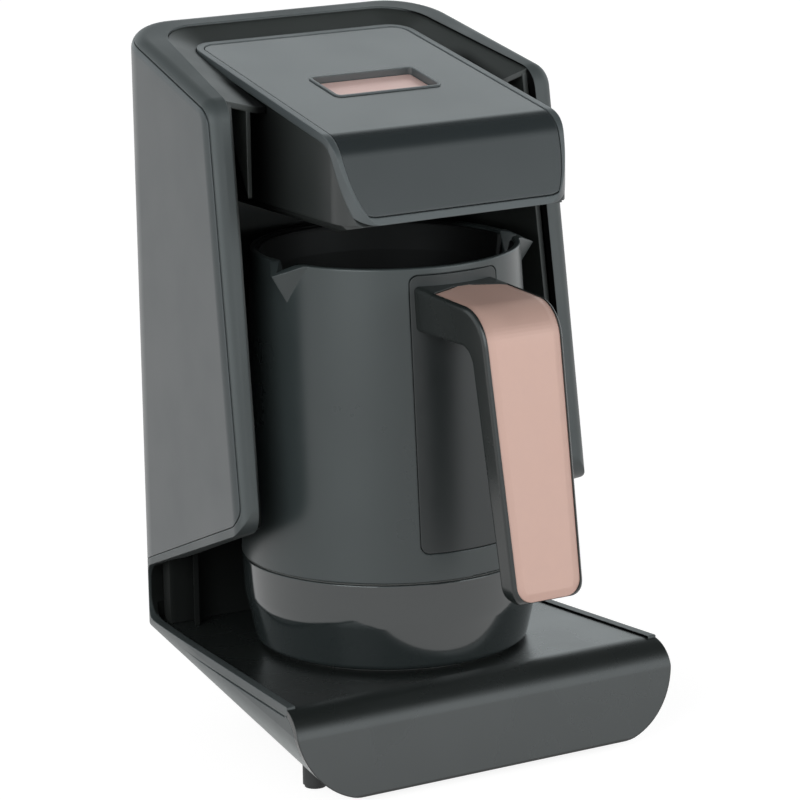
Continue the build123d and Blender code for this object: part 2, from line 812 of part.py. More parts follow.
def windowBlock(grow, topDepth, lowDepth, radius=windowRadius):
    """Block on the window's outline, from one depth below the panel's face to another."""
    face = RectangleRounded(2 * (windowHalfWidth + grow), windowDepthSize + 2 * grow, max(radius + grow, 0.3))
    return extrude(panelPlane(windowMiddle, lowDepth) * face, lowDepth - topDepth)


def makeHeadCap():
    """Thin frame round the head's top and front, with the seat of the top panel sunk into it."""
    cap = headSheet(0, capThickness, 0)
    seatCut = headSheet(-1, inlayThickness + seat, inlayBorder - inlayGap)
    cap = cap - seatCut
    for x, y in headScrewPlaces():
        boss = post(x, y, headJoint + seat, headTop(y) - capThickness * 0.8, bossRadius)
        cap = cap + boss - post(x, y, headJoint - 1, headJoint + screwLength - 3, screwRadius)
    return cap - windowBlock(bezelWidth + seat, -5, 12)


def makeInlay():
    """Top panel: one smooth sheet that flows over the roll into the front."""
    return headSheet(inlayDip, inlayThickness, inlayBorder) - windowBlock(bezelWidth + seat, -5, 12)


def makeHeadBody():
    """Lower body of the head: a deep tray under the cap, carried on the shelves of the back wall."""
    skinInset = capThickness + seat
    tray = sideBlock(headProfile(skinInset, headBottom, headRollRadius), -farLimit, farLimit)
    tray = tray - chin(0)
    collar = tray & headPlan(collarInset, headRimLow - seat, topLimit) & headFrontShape(
        collarInset, headRimLow - 2, 2)
    skirt = tray & headPlan(bodyStep, headBottom, headRimLow)
    skirt = skirt & headFrontShape(bodyStep, headBottom - bodyStep, bodyEdge)
    back = backReach - housingWall - seat
    rear = box(-headHalf(back), headHalf(back), headBack - headBackRadius, back, headBottom, rearTop)
    rear = rear & envelope(housingWall + seat)
    cavity = sideBlock(headProfile(skinInset - 1, headBottom + headWall, headRollRadius), -farLimit, farLimit)
    cavity = cavity & headPlan(bodyStep + headWall, headBottom + headWall, topLimit)
    cavity = cavity - chin(headWall)
    half = headHalf(back) - headWall
    rearCavity = box(-half, half, headBack - headBackRadius - headWall, back - headWall,
                     headBottom + headWall, rearTop - headWall)
    body = collar + skirt + rear - cavity - rearCavity
    for x, y in headScrewPlaces():
        body = body + post(x, y, headBottom + 1, headJoint, bossRadius)
        body = body - post(x, y, headBottom - 1, headJoint + 1, screwRadius + 0.1)
        sunk = headBottom + screwHeadHeight + screwSink
        body = body - post(x, y, headBottom - 1, sunk, screwHeadRadius + 0.2)
    for sx in (-1, 1):
        body = body - post(sx * shelfPlace, shelfScrewY, headBottom - 1, headBottom + 5, screwRadius + 0.1)
        for v in (-1, 1):
            face = Pos(sx * userPostX, v * userPostY) * Circle(userPostRadius)
            leg = extrude(panelPlane(windowMiddle, boardDepthBelow + boardThickness + seat) * face, -60)
            body = body + (leg & box(-farLimit, farLimit, -farLimit, farLimit, headBottom + 1, topLimit))
    body = body - post(0, -sensorReach, headBottom - 1, headBottom + headWall + 1, sensorRadius)
    return body - post(harnessX, harnessRear, headBottom - 1, headBottom + headWall + 1, harnessRadius + 1)


def chin(grow):
    """What lies below the underside, which rises towards the rim's front; it grows upwards for the inside."""
    front = -(headFrontLow + 10)
    low, high = headBottom - 5, headBottom + grow
    rise = (headRimLow - headBottom) / (headFrontLow - chinReach)
    return sideBlock([(-chinReach, high, 0), (-chinReach, low, 0), (front, low, 0),
                      (front, high + rise * (-chinReach - front), 0)], -farLimit, farLimit)


def headScrewPlaces():
    inset = bodyStep + headWall + bossRadius + 1
    return [(sx * (headHalf(y) - inset), y) for sx in (-1, 1) for y in (-headScrewFront, headScrewBack)]


def makeBezel():
    return windowBlock(bezelWidth, -bezelProud, bezelDepth) - windowBlock(0, -1, bezelDepth + 1)


def makeButton():
    """Bar that fills the window, with the stem that reaches down to the switch."""
    bar = windowBlock(-buttonGap, buttonRecess, buttonFoot)
    stem = extrude(panelPlane(windowMiddle, stemLow) * Circle(stemRadius), stemLow - buttonFoot + 0.5)
    return bar + stem


def makeButtonGuide():
    """Plate with a collar that the stem slides in, standing on two legs on the user board."""
    plate = windowBlock(guideGrow, guideTop, guideTop + guideWall)
    ring = Circle(stemRadius + guideWall)
    collar = extrude(panelPlane(windowMiddle, guideTop + guideLength) * ring, guideLength)
    bore = extrude(panelPlane(windowMiddle, 40) * Circle(stemRadius + stemGap), 40)
    guide = plate + collar
    for sx in (-1, 1):
        face = Pos(sx * windowHalfWidth, 0) * Circle(userPostRadius)
        low = boardDepthBelow - seat
        guide = guide + extrude(panelPlane(windowMiddle, low) * face, low - guideTop - 0.5)
        face = Pos(sx * lampPlace, pipePlace) * Rectangle(pipeLeg + 0.6, pipeLeg)
        guide = guide - extrude(panelPlane(windowMiddle, 40) * face, 40)
    return guide - bore


def makeButtonSpring():
    """Return spring round the stem, between the bar and the guide's plate."""
    length = guideTop - buttonFoot - 2 * seat
    run = length - 2 * springWire
    helix = Helix(run / springTurns, run, stemRadius + 1.2)
    coil = sweep(Plane(helix @ 0, z_dir=helix % 0) * Circle(springWire), path=helix)
    return panelPlane(windowMiddle, guideTop - springWire - seat) * coil


def makeUserBoard():
    low = boardDepthBelow + boardThickness
    board = extrude(panelPlane(windowMiddle, low) * Rectangle(userBoardLength, userBoardDepth), boardThickness)
    face = Pos(harnessX, plugPlace) * Rectangle(plugWidth, plugDepth)
    plug = extrude(panelPlane(windowMiddle, low + plugHeight) * face, plugHeight)
    return board + plug


def makeTactSwitch():
    low = boardDepthBelow - seat
    body = extrude(panelPlane(windowMiddle, low) * Rectangle(switchSize, switchSize), switchHeight)
    knob = extrude(panelPlane(windowMiddle, low - switchHeight + 0.1) * Circle(switchKnobRadius), switchKnob)
    return body + knob


def makeLamps():
    lamps = []
    for sx in (-1, 1):
        face = Pos(sx * lampPlace, pipePlace) * Rectangle(lampWidth, lampDepth)
        lamps.append(extrude(panelPlane(windowMiddle, boardDepthBelow - seat) * face, lampHeight))
    return Compound(lamps)


def makeLightPipe():
    """Clear bar behind the button, resting on the guide, with a leg down to each lamp."""
    low = guideTop - seat
    face = Pos(0, pipePlace) * Rectangle(2 * lampPlace + 8, pipeLeg)
    pipe = extrude(panelPlane(windowMiddle, low) * face, pipeHeight)
    foot = boardDepthBelow - seat - lampHeight - runGap
    for sx in (-1, 1):
        face = Pos(sx * lampPlace, pipePlace) * Rectangle(pipeLeg, pipeLeg - 0.6)
        pipe = pipe + extrude(panelPlane(windowMiddle, foot) * face, foot - low + 0.5)
    return pipe


# ---------------------------------------------------------------- jug
def jugRadius(z):
    share = (z - jugSeamHeight) / (jugRimHeight - jugSeamHeight)
    return jugSeamRadius + (jugRimRadius - jugSeamRadius) * share


def turned(corners):
    """Solid of revolution about the jug's axis from (radius, height, rounding) corners."""
    return revolve(Plane.XZ * roundedFace(corners), Axis.Z, 360)


def shellBand(outerInset, innerInset, low, high, edge=0.0):
    return turned([(jugRadius(low) - innerInset, low, edge), (jugRadius(low) - outerInset, low, edge),
                   (jugRadius(high) - outerInset, high, edge), (jugRadius(high) - innerInset, high, edge)])


def plateShape(grow):
    half, low, high = plateHalfWidth + grow, plateLow - grow, plateHigh + grow
    return frontBlock([(-half, low, plateRadius), (half, low, plateRadius), (half, high, plateRadius),
                       (-half, high, plateRadius)], -farLimit, 0)


def spoutBeak(thin, rise):
    """Beak from the wall out to its tip; a positive thinness gives the hollow, open upwards by the rise."""
    root = jugRimRadius - jugWall - 6
    slope = (spoutTipHeight - spoutLow) / (spoutReach - jugRadius(spoutLow))
    spread = spoutHalfWidth / (spoutReach - jugRimRadius)
    tip = spoutReach - 2 * thin
    sections = []
    for x in (root, tip):
        half = spread * (spoutReach - x) - 1.4 * thin + 0.5
        low = spoutTipHeight - slope * (spoutReach - x) + 1.5 * thin - 0.5
        top = spoutTipHeight + rise
        top = top + (jugRimHeight - spoutTipHeight) * (spoutReach - x) / (spoutReach - jugRimRadius)
        if thin:
            half = spread * (tip + 0.4 - x)
            low = spoutTipHeight - slope * (tip + 0.4 - x)
        face = roundedFace([(-half, top, 0), (half, top, 0), (0, low, 0)])
        sections.append(Plane(origin=(x, 0, 0), x_dir=(0, 1, 0), z_dir=(1, 0, 0)) * face)
    return Solid.make_loft([section.outer_wire() for section in sections], ruled=True)


def spouts(thin, rise):
    right = Rot(0, 0, -spoutAngle) * spoutBeak(thin, rise)
    left = Rot(0, 0, 180 + spoutAngle) * spoutBeak(thin, rise)
    return [right, left]


def makeJugShell():
    """Conical outer wall with its two pouring beaks, the seat of the mounting plate and the screw posts."""
    high = topLimit
    inside = turned([(0, 0, 0), (jugRadius(0) - jugWall, 0, 0), (jugRadius(high) - jugWall, high, 0),
                     (0, high, 0)])
    shell = shellBand(0, jugWall, jugSeamHeight + seamGap, jugRimHeight, 0.6)
    above = box(-farLimit, farLimit, -farLimit, farLimit, jugRimHeight - 0.1, topLimit)
    for beak in spouts(0, 0):
        shell = shell + (beak - inside - above)
    for beak in spouts(spoutWall, 6):
        shell = shell - beak
    for angle in screwAngles:
        column = post(jugScrewReach, 0, carrierTop + seat, carrierTop + shellPostHeight, bossRadius - 0.4)
        web = box(jugScrewReach, jugSeamRadius - jugWall / 2, -0.9, 0.9, jugSeamHeight + 2,
                  carrierTop + shellPostHeight)
        hole = post(jugScrewReach, 0, 0, carrierTop + shellPostHeight - 2, screwRadius)
        shell = shell + Rot(0, 0, angle) * (column + web) - Rot(0, 0, angle) * hole
    recess = shellBand(-1, plateThickness + seat, plateLow - 10, jugRimHeight) & plateShape(plateGap)
    shell = shell - recess
    for z in handleScrewHeights():
        shell = shell - Pos(0, -jugRadius(z), z) * Rot(90, 0, 0) * Cylinder(screwRadius, 12)
    return shell


def makePlate():
    plate = shellBand(0.05, plateThickness, plateLow - 10, jugRimHeight) & plateShape(0)
    for z in handleScrewHeights():
        plate = plate - Pos(0, -jugRadius(z), z) * Rot(90, 0, 0) * Cylinder(screwRadius, 12)
    return plate


def makePot():
    """Inner steel pot: straight cone with a flared rim that closes on the shell."""
    rimOuter = jugRadius(jugRimHeight) - jugWall - seat
    rimZ = jugRimHeight - potRimDrop
    outer = turned([(0, potFootHeight, 0), (potFootRadius, potFootHeight, potFloorRadius),
                    (potTopRadius, rimZ - potFlareHeight, 2), (rimOuter, rimZ - potRimHeight, 0),
                    (rimOuter, rimZ, 0), (0, rimZ, 0)])
    floor = potFootHeight + potWall
    inner = turned([(0, floor, 0), (potFootRadius - potWall, floor, potFloorRadius - potWall),
                    (potTopRadius - potWall, rimZ - potFlareHeight, 2),
                    (rimOuter - potWall, rimZ - potRimHeight / 2, 0),
                    (rimOuter - potWall, rimZ + 5, 0), (0, rimZ + 5, 0)])
    pot = outer - inner
    for beak in spouts(spoutWall, 6):
        pot = pot - beak
    return pot


def makeCup():
    """Bowl-shaped bottom cup with a flat foot and the opening for the coupling socket."""
    high = jugSeamHeight
    outer = turned([(0, jugFootHeight, 0), (jugFootRadius, jugFootHeight, 2.5),
                    (cupBellyRadius, cupBellyHeight, 18), (jugSeamRadius, high, 0.4), (0, high, 0)])
    floor = jugFootHeight + cupWall
    inner = turned([(0, floor, 0), (jugFootRadius - cupWall, floor, 2.0),
                    (cupBellyRadius - cupWall, cupBellyHeight, 16), (jugSeamRadius - cupWall, high + 5, 0),
                    (0, high + 5, 0)])
    cup = outer - inner - couplingBlock(socketGap + socketWall + 0.2, jugFootHeight - 1, floor + 1)
    headSeat = jugFootHeight + screwHeadHeight + 0.2
    for angle in screwAngles:
        boss = post(jugScrewReach, 0, jugFootHeight + 1, carrierTop - carrierThickness - seat, bossRadius)
        hole = post(jugScrewReach, 0, jugFootHeight - 1, jugSeamHeight, screwRadius + 0.1)
        hole = hole + post(jugScrewReach, 0, jugFootHeight - 1, headSeat, screwHeadRadius + 0.1)
        cup = cup + Rot(0, 0, angle) * boss - Rot(0, 0, angle) * hole
    return cup


def makeHeatingPlate():
    return post(0, 0, plateUnder, potFootHeight - seat, potFootRadius - potFloorRadius - 0.5)


def makeElement():
    """Tubular heating element pressed under the plate, open at the back, with its two cold ends."""
    path = CenterArc((0, 0, plateUnder - elementTube - seat), elementReach, 110, 320)
    ring = sweep(Plane(path @ 0, z_dir=path % 0) * Circle(elementTube), path=path)
    for share in (0, 1):
        end = path @ share
        ring = ring + post(end.X, end.Y, plateUnder - coldEnd, plateUnder - elementTube, elementTube * 0.9)
    return ring


def makeSeamGasket():
    """Ring that seals the shell to the cup at the seam."""
    low, high = jugSeamHeight + seat, jugSeamHeight + seamGap - seat
    inner, outer = jugSeamRadius - jugWall, jugSeamRadius - gasketInset
    return post(0, 0, low, high, outer) - post(0, 0, low - 1, high + 1, inner)


def makeCarrier():
    """Disc inside the jug's foot that carries the pot and its heating plate."""
    low = carrierTop - carrierThickness
    disc = post(0, 0, low, carrierTop, carrierRadius) - post(0, 0, low - 1, carrierTop + 1, carrierBore)
    wall = post(0, 0, low, potFootHeight + carrierRise, potFootRadius + potGap + carrierWall)
    wall = wall - post(0, 0, low - 1, potFootHeight + carrierRise + 1, potFootRadius + potGap)
    lug = post(0, 0, potFootHeight - lugThickness - seat, potFootHeight - seat, potFootRadius + 1.5)
    lug = lug - post(0, 0, 0, potFootHeight, potFootRadius - potFloorRadius + 0.5)
    carrier = disc + wall + lug
    for angle in screwAngles:
        carrier = carrier - Rot(0, 0, angle) * post(jugScrewReach, 0, 0, potFootHeight, screwRadius + 0.1)
    return carrier


def makeThermostat():
    body = post(0, 0, plateUnder - thermostatHeight, plateUnder - seat, thermostatRadius)
    tabs = thermostatRadius + 3
    return body + box(-tabs, tabs, -2, 2, plateUnder - 5, plateUnder - 4.2)


def makeSocket():
    """Keyed socket in the jug's foot that drops over the coupling in the deck."""
    low = jugFootHeight + socketRecess
    roof = deckHeight + couplingRise + socketHeadroom
    floor = jugFootHeight + cupWall + seat
    socket = couplingBlock(socketGap + socketWall, low, roof + socketRoof)
    socket = socket + couplingBlock(socketGap + socketWall + socketFlange, floor, floor + 2.0)
    socket = socket - couplingBlock(socketGap, 0, roof)
    for x in contactPlaces():
        socket = socket - post(x, 0, 0, jugSeamHeight, contactRadius + runGap)
    return socket


def contactPlaces():
    return [-contactPitch, 0.0, contactPitch]


def makeSocketContacts():
    """Sprung contact sleeves in the socket's roof, just above the coupling's pins."""
    low = deckHeight + couplingRise + socketHeadroom
    sleeves = []
    for x in contactPlaces():
        sleeve = post(x, 0, low, low + sleeveLength, contactRadius + runGap - seat)
        sleeves.append(sleeve - post(x, 0, low - 1, low + sleeveLength / 2, contactRadius * 0.6))
    return Compound(sleeves)


# ---------------------------------------------------------------- handle
def gripFront(z):
    """y of the grip's front face at a height."""
    share = (armHeight - z) / (armHeight - gripFootHeight)
    return -(gripTopReach + (gripFootReach - gripTopReach) * share)


def handleCorners(inset):
    """Side view of the handle: short arm, bend and long slanting grip."""
    armLow = armHeight - armThickness
    foot = gripFootHeight + inset
    return [(-30, armHeight + 0.6 - inset, 0),
            (gripFront(armHeight) + inset, armHeight - 2.2 - inset, gripBendRadius - inset),
            (gripFront(foot) + inset, foot, max(gripFootRadius - inset, 0.4)),
            (gripFront(foot) + gripFootDepth - inset, foot + 2.0, max(gripFootRadius - inset, 0.4)),
            (gripFront(armLow) + gripTopDepth - inset, armLow + inset, gripInnerRadius + inset),
            (-30, armLow + inset - 0.4, 0)]


def handleFrontShape(inset, low):
    top, corner = armHeight + 10, gripCornerRadius - inset
    high, foot = gripTopHalfWidth - inset, gripFootHalfWidth - inset
    return frontBlock([(-high, top, 0), (-foot, low, corner), (foot, low, corner), (high, top, 0)],
                      -farLimit, 0)


def jugSkin(grow):
    low, high = jugFootHeight, jugRimHeight + jugSeamHeight
    return turned([(0, low, 0), (jugRadius(low) + grow, low, 0), (jugRadius(high) + grow, high, 0),
                   (0, high, 0)])


def inlayBand():
    """Strip sunk into the handle's top and front."""
    outer = sideBlock(handleCorners(0), -40, 40)
    inner = sideBlock(handleCorners(inlayDepth), -40, 40)
    backLow = sideBlock([(-20, armHeight - 5, 0), (gripFront(armHeight) + 8, armHeight - 5, 10),
                         (gripFront(gripFootHeight) + 5.5, gripFootHeight - 10, 0), (-20, 0, 0)], -40, 40)
    return outer - inner - backLow


def pinkShape(grow):
    """Outline of the sunk strip: inside the handle's edges, with a pointed end towards the jug."""
    low = gripFootHeight + pinkFoot - grow
    near, far = -pinkStart + grow, -pinkStart - 16
    point = planBlock([(-pinkPoint - grow, near, 0), (-40, far, 0), (-40, -farLimit, 0), (40, -farLimit, 0),
                       (40, far, 0), (pinkPoint + grow, near, 0)], 0, topLimit)
    return handleFrontShape(inlaySide - grow, low) & point


def makeHandle():
    solid = sideBlock(handleCorners(0), -40, 40) & handleFrontShape(0, gripFootHeight)
    solid = solid - jugSkin(seat)
    longEdges = solid.edges().filter_by(lambda edge: abs(edge.center().X) > gripFootHalfWidth * 0.75
                                        and edge.center().Y < -jugRimRadius - 9)
    solid = solid.fillet(gripEdgeRadius, longEdges)
    solid = solid - (inlayBand() & pinkShape(pinkGap))
    for z in handleScrewHeights():
        solid = solid - Pos(0, -jugRadius(z) - 4, z) * Rot(90, 0, 0) * Cylinder(screwRadius, 12)
    return solid - insertBlock(0)


def makePink():
    solid = sideBlock(handleCorners(0), -40, 40) & handleFrontShape(0, gripFootHeight)
    return solid & inlayBand() & pinkShape(0) & jugOutside()


def jugOutside():
    return box(-40, 40, -farLimit, -(jugRimRadius + 2), 0, topLimit)


def insertBlock(inset):
    return box(-insertHalfWidth + inset, insertHalfWidth - inset, -insertFar + inset, -insertNear - inset,
               armHeight - armThickness + insertLow + inset, armHeight - insertHigh - inset)


def makeInsert():
    """Metal block inside the arm that the handle screws bite into."""
    return insertBlock(seat)


def handleScrewHeights():
    middle = armHeight - armThickness / 2
    return [middle - handleScrewPitch / 2, middle + handleScrewPitch / 2]


def makeHandleScrews():
    screws = []
    for z in handleScrewHeights():
        inner = jugRadius(z) - jugWall
        shank = Pos(0, -(inner + jugRimRadius + 5) / 2, z) * Rot(90, 0, 0) * Cylinder(
            screwRadius - 0.05, jugRimRadius + 5 - inner)
        head = Pos(0, -inner + 0.9, z) * Rot(90, 0, 0) * Cylinder(screwHeadRadius, 1.2)
        screws.append(shank + head)
    return Compound(screws)


# ---------------------------------------------------------------- base fittings
def plinthBlock(inset, low, high):
    half = plinthHalfWidth - inset
    front, back = -(plinthFront - inset), plinthBack - inset
    corner = max(plinthRadius - inset, 1)
    return planBlock([(-half, front, corner), (half, front, corner), (half, back, corner),
                      (-half, back, corner)], low, high)


def underHull(gap):
    """Everything below the hull's underside."""
    front, back = -lipReach, backReach
    return sideBlock([(front, hullHeight(front) - gap, 0), (back, hullHeight(back) - gap, 0), (back, -20, 0),
                      (front, -20, 0)], -farLimit, farLimit)


def makePlinth():
    outer = plinthBlock(0, plinthLow, 60) & underHull(seat)
    pan = outer - plinthBlock(plinthWall, plinthLow + plinthWall, 60)
    for x, y in bossPlaces():
        boss = post(x, y, plinthLow + 0.5, 60, bossRadius) & underHull(seat)
        pan = pan + boss
    for x, y in bossPlaces():
        pan = pan - post(x, y, -5, 60, screwRadius + 0.1)
        pan = pan - post(x, y, -5, plinthLow + screwHeadHeight + screwSink, screwHeadRadius + 0.2)
    for sx in (-1, 1):
        pan = pan - post(sx * rearFootX, rearFootY, -5, plinthLow + 1.0, rearFootRadius + seat)
        ring = post(sx * rearFootX, rearFootY, plinthLow + 1.0, plinthLow + 3.2, rearFootRadius + 1.5)
        pan = pan + ring
    return pan


def makePlinthScrews():
    screws = []
    for x, y in bossPlaces():
        seatZ = plinthLow + screwHeadHeight + screwSink
        top = hullHeight(y) + plinthBossHeight - 1.5
        head = post(x, y, seatZ - screwHeadHeight, seatZ - seat, screwHeadRadius)
        screws.append(head + post(x, y, seatZ - 0.5, top, screwRadius - 0.05))
    return Compound(screws)


def makeFrontFeet():
    feet = []
    for x, y in frontFeet():
        foot = post(x, y, 0, footSeat(y) - seat, footRadius)
        tip = post(x, y, 0, 1.0, footRadius) - post(x, y, -1, 2, footRadius - 0.6)
        feet.append(foot - tip)
    return Compound(feet)


def makeRearFeet():
    feet = [post(sx * rearFootX, rearFootY, 0, plinthLow + 1.0 - seat, rearFootRadius) for sx in (-1, 1)]
    return Compound(feet)


def makeRestPad():
    ring = post(0, 0, deckHeight + seat, jugFootHeight - seat, padOuterRadius)
    return ring - post(0, 0, 0, jugSeamHeight, padInnerRadius)


def makeCoupling():
    """Keyed power coupling: flange under the deck and head that stands up into the jug's socket."""
    high = deckUnder - seat
    low = high - couplingFlangeThickness
    coupling = couplingBlock(0, low, deckHeight + couplingRise) + post(0, 0, low, high, couplingFlange)
    coupling = coupling + couplingBlock(-2, low - 4, low + 0.1)
    for x in contactPlaces():
        coupling = coupling - post(x, 0, 0, jugSeamHeight, contactRadius + 0.05)
    for x, y in couplingScrewPlaces():
        coupling = coupling - post(x, y, 0, jugSeamHeight, screwRadius)
    return coupling


def makeCouplingContacts():
    low = deckUnder - couplingFlangeThickness - seat - pinTail
    pins = [post(x, 0, low, deckHeight + couplingRise + pinRise, contactRadius) for x in contactPlaces()]
    return Compound(pins)


def makeCouplingScrews():
    screws = []
    low = deckUnder - couplingFlangeThickness - seat
    for x, y in couplingScrewPlaces():
        shank = post(x, y, low - 0.5, deckUnder + couplingScrewBite - 0.1, screwRadius - 0.05)
        screws.append(shank + post(x, y, low - screwHeadHeight - seat, low - seat, screwHeadRadius))
    return Compound(screws)


def makePowerBoard():
    front, back = boardPlace - boardDepth / 2, boardPlace + boardDepth / 2
    board = box(-boardLength / 2, boardLength / 2, front, back, boardLow, boardTop)
    half = harnessPlugHalf
    board = board + box(harnessX - half, harnessX + half, harnessStart - 6, harnessStart, boardTop - 0.5,
                        boardTop + 2 * harnessRadius + 1)
    for x, y in boardPosts():
        board = board - post(x, y, 0, deckHeight, screwRadius + 0.1)
    return board


def boardPosts():
    reach = boardLength / 2 - 4
    return [(sx * reach, boardPlace + sy * boardPostY) for sx in (-1, 1) for sy in (-1, 1)]


def makeBoardScrews():
    screws = []
    for x, y in boardPosts():
        shank = post(x, y, hullHeight(y) + housingWall + 1, boardTop + 0.5, screwRadius - 0.05)
        screws.append(shank + post(x, y, boardTop + seat, boardTop + screwHeadHeight, screwHeadRadius))
    return Compound(screws)


def onBoard(x, y, length, depth, height, lift=0.0):
    """Block on the power board, placed from the board's centre line."""
    low = boardTop + seat + lift
    return box(x - length / 2, x + length / 2, boardPlace + y - depth / 2, boardPlace + y + depth / 2, low,
               low + height)


def makeRelay():
    return onBoard(relayX, 0, relayLength, relayDepth, deckUnder - relayRoom - boardTop - seat)


def makeTransformer():
    core = onBoard(transformerX, 0, transformerLength, transformerDepth, transformerHeight)
    return core + onBoard(transformerX, 0, coilLength, coilDepth, transformerHeight - 2 * coilInset, coilInset)


def makeFilterParts():
    """Capacitor, fuse and varistor on the power board."""
    low = boardTop + seat
    capacitor = post(capacitorX, boardPlace + capacitorY, low, low + capacitorHeight, capacitorRadius)
    fuse = Pos(fuseX, boardPlace + fuseY, low + fuseRadius) * Rot(0, 90, 0) * Cylinder(fuseRadius, fuseLength)
    varistor = onBoard(varistorX, varistorY, varistorLength, varistorDepth, varistorHeight)
    return Compound([capacitor, fuse, varistor])


def makeBuzzer():
    low, y = boardTop + seat, boardPlace + buzzerY
    body = post(buzzerX, y, low, low + buzzerHeight, buzzerRadius)
    return body - post(buzzerX, y, low + buzzerHeight - 1, low + buzzerHeight + 1, buzzerHole)


def makeHarness():
    """Wire bundle from the power board, back under the deck, up behind the liner and into the head."""
    y0 = harnessStart + runGap
    z0 = boardTop + harnessRadius + 0.5
    z1 = hullHeight(harnessRear) + housingWall + harnessRadius + runGap
    end = panelPlane(windowMiddle, boardDepthBelow + boardThickness + plugHeight + seat) * Pos(0, plugPlace)
    high = headBottom + headWall + harnessRadius + 1.0
    path = FilletPolyline((harnessX, y0, z0), (harnessX, harnessRear, z1), (harnessX, harnessRear, high),
                          (harnessX, end.position.Y, high), (harnessX, end.position.Y, end.position.Z - 0.5),
                          radius=harnessBend)
    return sweep(Plane(path @ 0, z_dir=path % 0) * Circle(harnessRadius), path=path)


def glandBore():
    return Pos(glandX, backReach, glandHeight) * Rot(90, 0, 0) * Cylinder(glandBody, 12)


def makeGland():
    """Cord gland in the back wall: a sleeve flush with the wall and a flange inside it."""
    inside = backReach - rimWidth
    sleeve = Pos(glandX, (inside - glandGrip + backReach) / 2, glandHeight) * Rot(90, 0, 0) * Cylinder(
        glandBody - seat, rimWidth + glandGrip)
    flange = Pos(glandX, inside - glandFlangeThickness / 2 - seat, glandHeight) * Rot(90, 0, 0) * Cylinder(
        glandFlange, glandFlangeThickness)
    hole = Pos(glandX, backReach, glandHeight) * Rot(90, 0, 0) * Cylinder(cordBore, backReach)
    return sleeve + flange - hole


def makeClamp():
    """Cord clamp block behind the gland, standing on the deck."""
    block = box(glandX - clampHalfWidth, glandX + clampHalfWidth, clampPlace - clampHalfDepth,
                clampPlace + clampHalfDepth, deckHeight + seat, glandHeight + cordBore + 3)
    return block - Pos(glandX, clampPlace, glandHeight) * Rot(90, 0, 0) * Cylinder(
        cordBore - clampPinch, 4 * clampHalfDepth)


def makeHeadScrews():
    """Screws from below that pull the cap's posts onto the head's lower body."""
    screws = []
    seatZ = headBottom + screwHeadHeight + screwSink
    for x, y in headScrewPlaces():
        head = post(x, y, seatZ - screwHeadHeight, seatZ - seat, screwHeadRadius)
        screws.append(head + post(x, y, seatZ - 0.5, headJoint + screwLength - 4, screwRadius - 0.05))
    return Compound(screws)


def makeColumnScrews():
    """Two screws through the liner's rear wall and two down into the head's shelves."""
    screws = []
    low = headBottom + headWall + seat
    for side in (1, -1):
        face = linerBack - linerWall - seat
        head = Pos(side * columnScrewPlace, face - 0.8, columnScrewHeight) * Rot(90, 0, 0) * Cylinder(
            screwHeadRadius, 1.6)
        shank = Pos(side * columnScrewPlace, face + screwLength / 2 - 0.5, columnScrewHeight) * Rot(
            90, 0, 0) * Cylinder(screwRadius - 0.05, screwLength)
        screws.append(head + shank)
        x, y = side * shelfPlace, shelfScrewY
        upright = post(x, y, headBottom - shelfHeight + 3, low + 1, screwRadius - 0.05)
        screws.append(upright + post(x, y, low, low + screwHeadHeight, screwHeadRadius))
    return Compound(screws)


def makeCupScrews():
    """Screws from the jug's foot through the cup and the carrier into the shell's posts."""
    screws = []
    low = jugFootHeight + 0.2
    for angle in screwAngles:
        head = post(jugScrewReach, 0, low, low + screwHeadHeight - seat, screwHeadRadius)
        shank = post(jugScrewReach, 0, low + 1.5, carrierTop + shellPostHeight - 3, screwRadius - 0.05)
        screws.append(Rot(0, 0, angle) * (head + shank))
    return Compound(screws)


def makeSensorWindow():
    """Clear disc in the head's floor, with a lip that rests on the floor's upper face."""
    floor = headBottom + headWall + seat
    disc = post(0, -sensorReach, headBottom + 0.2, floor + 0.5, sensorRadius - 0.05)
    return disc + post(0, -sensorReach, floor, floor + 1.0, sensorRadius + 1.2)


def makeSensor():
    """Boil sensor over its window: a can on a small board."""
    low = headBottom + headWall + 1.0 + 2 * seat
    top = low + sensorCanHeight
    can = post(0, -sensorReach, low, top, sensorCanRadius)
    return can + box(-sensorBoardHalf, sensorBoardHalf, -sensorReach - 6, -sensorReach + 6, top, top + 1.4)


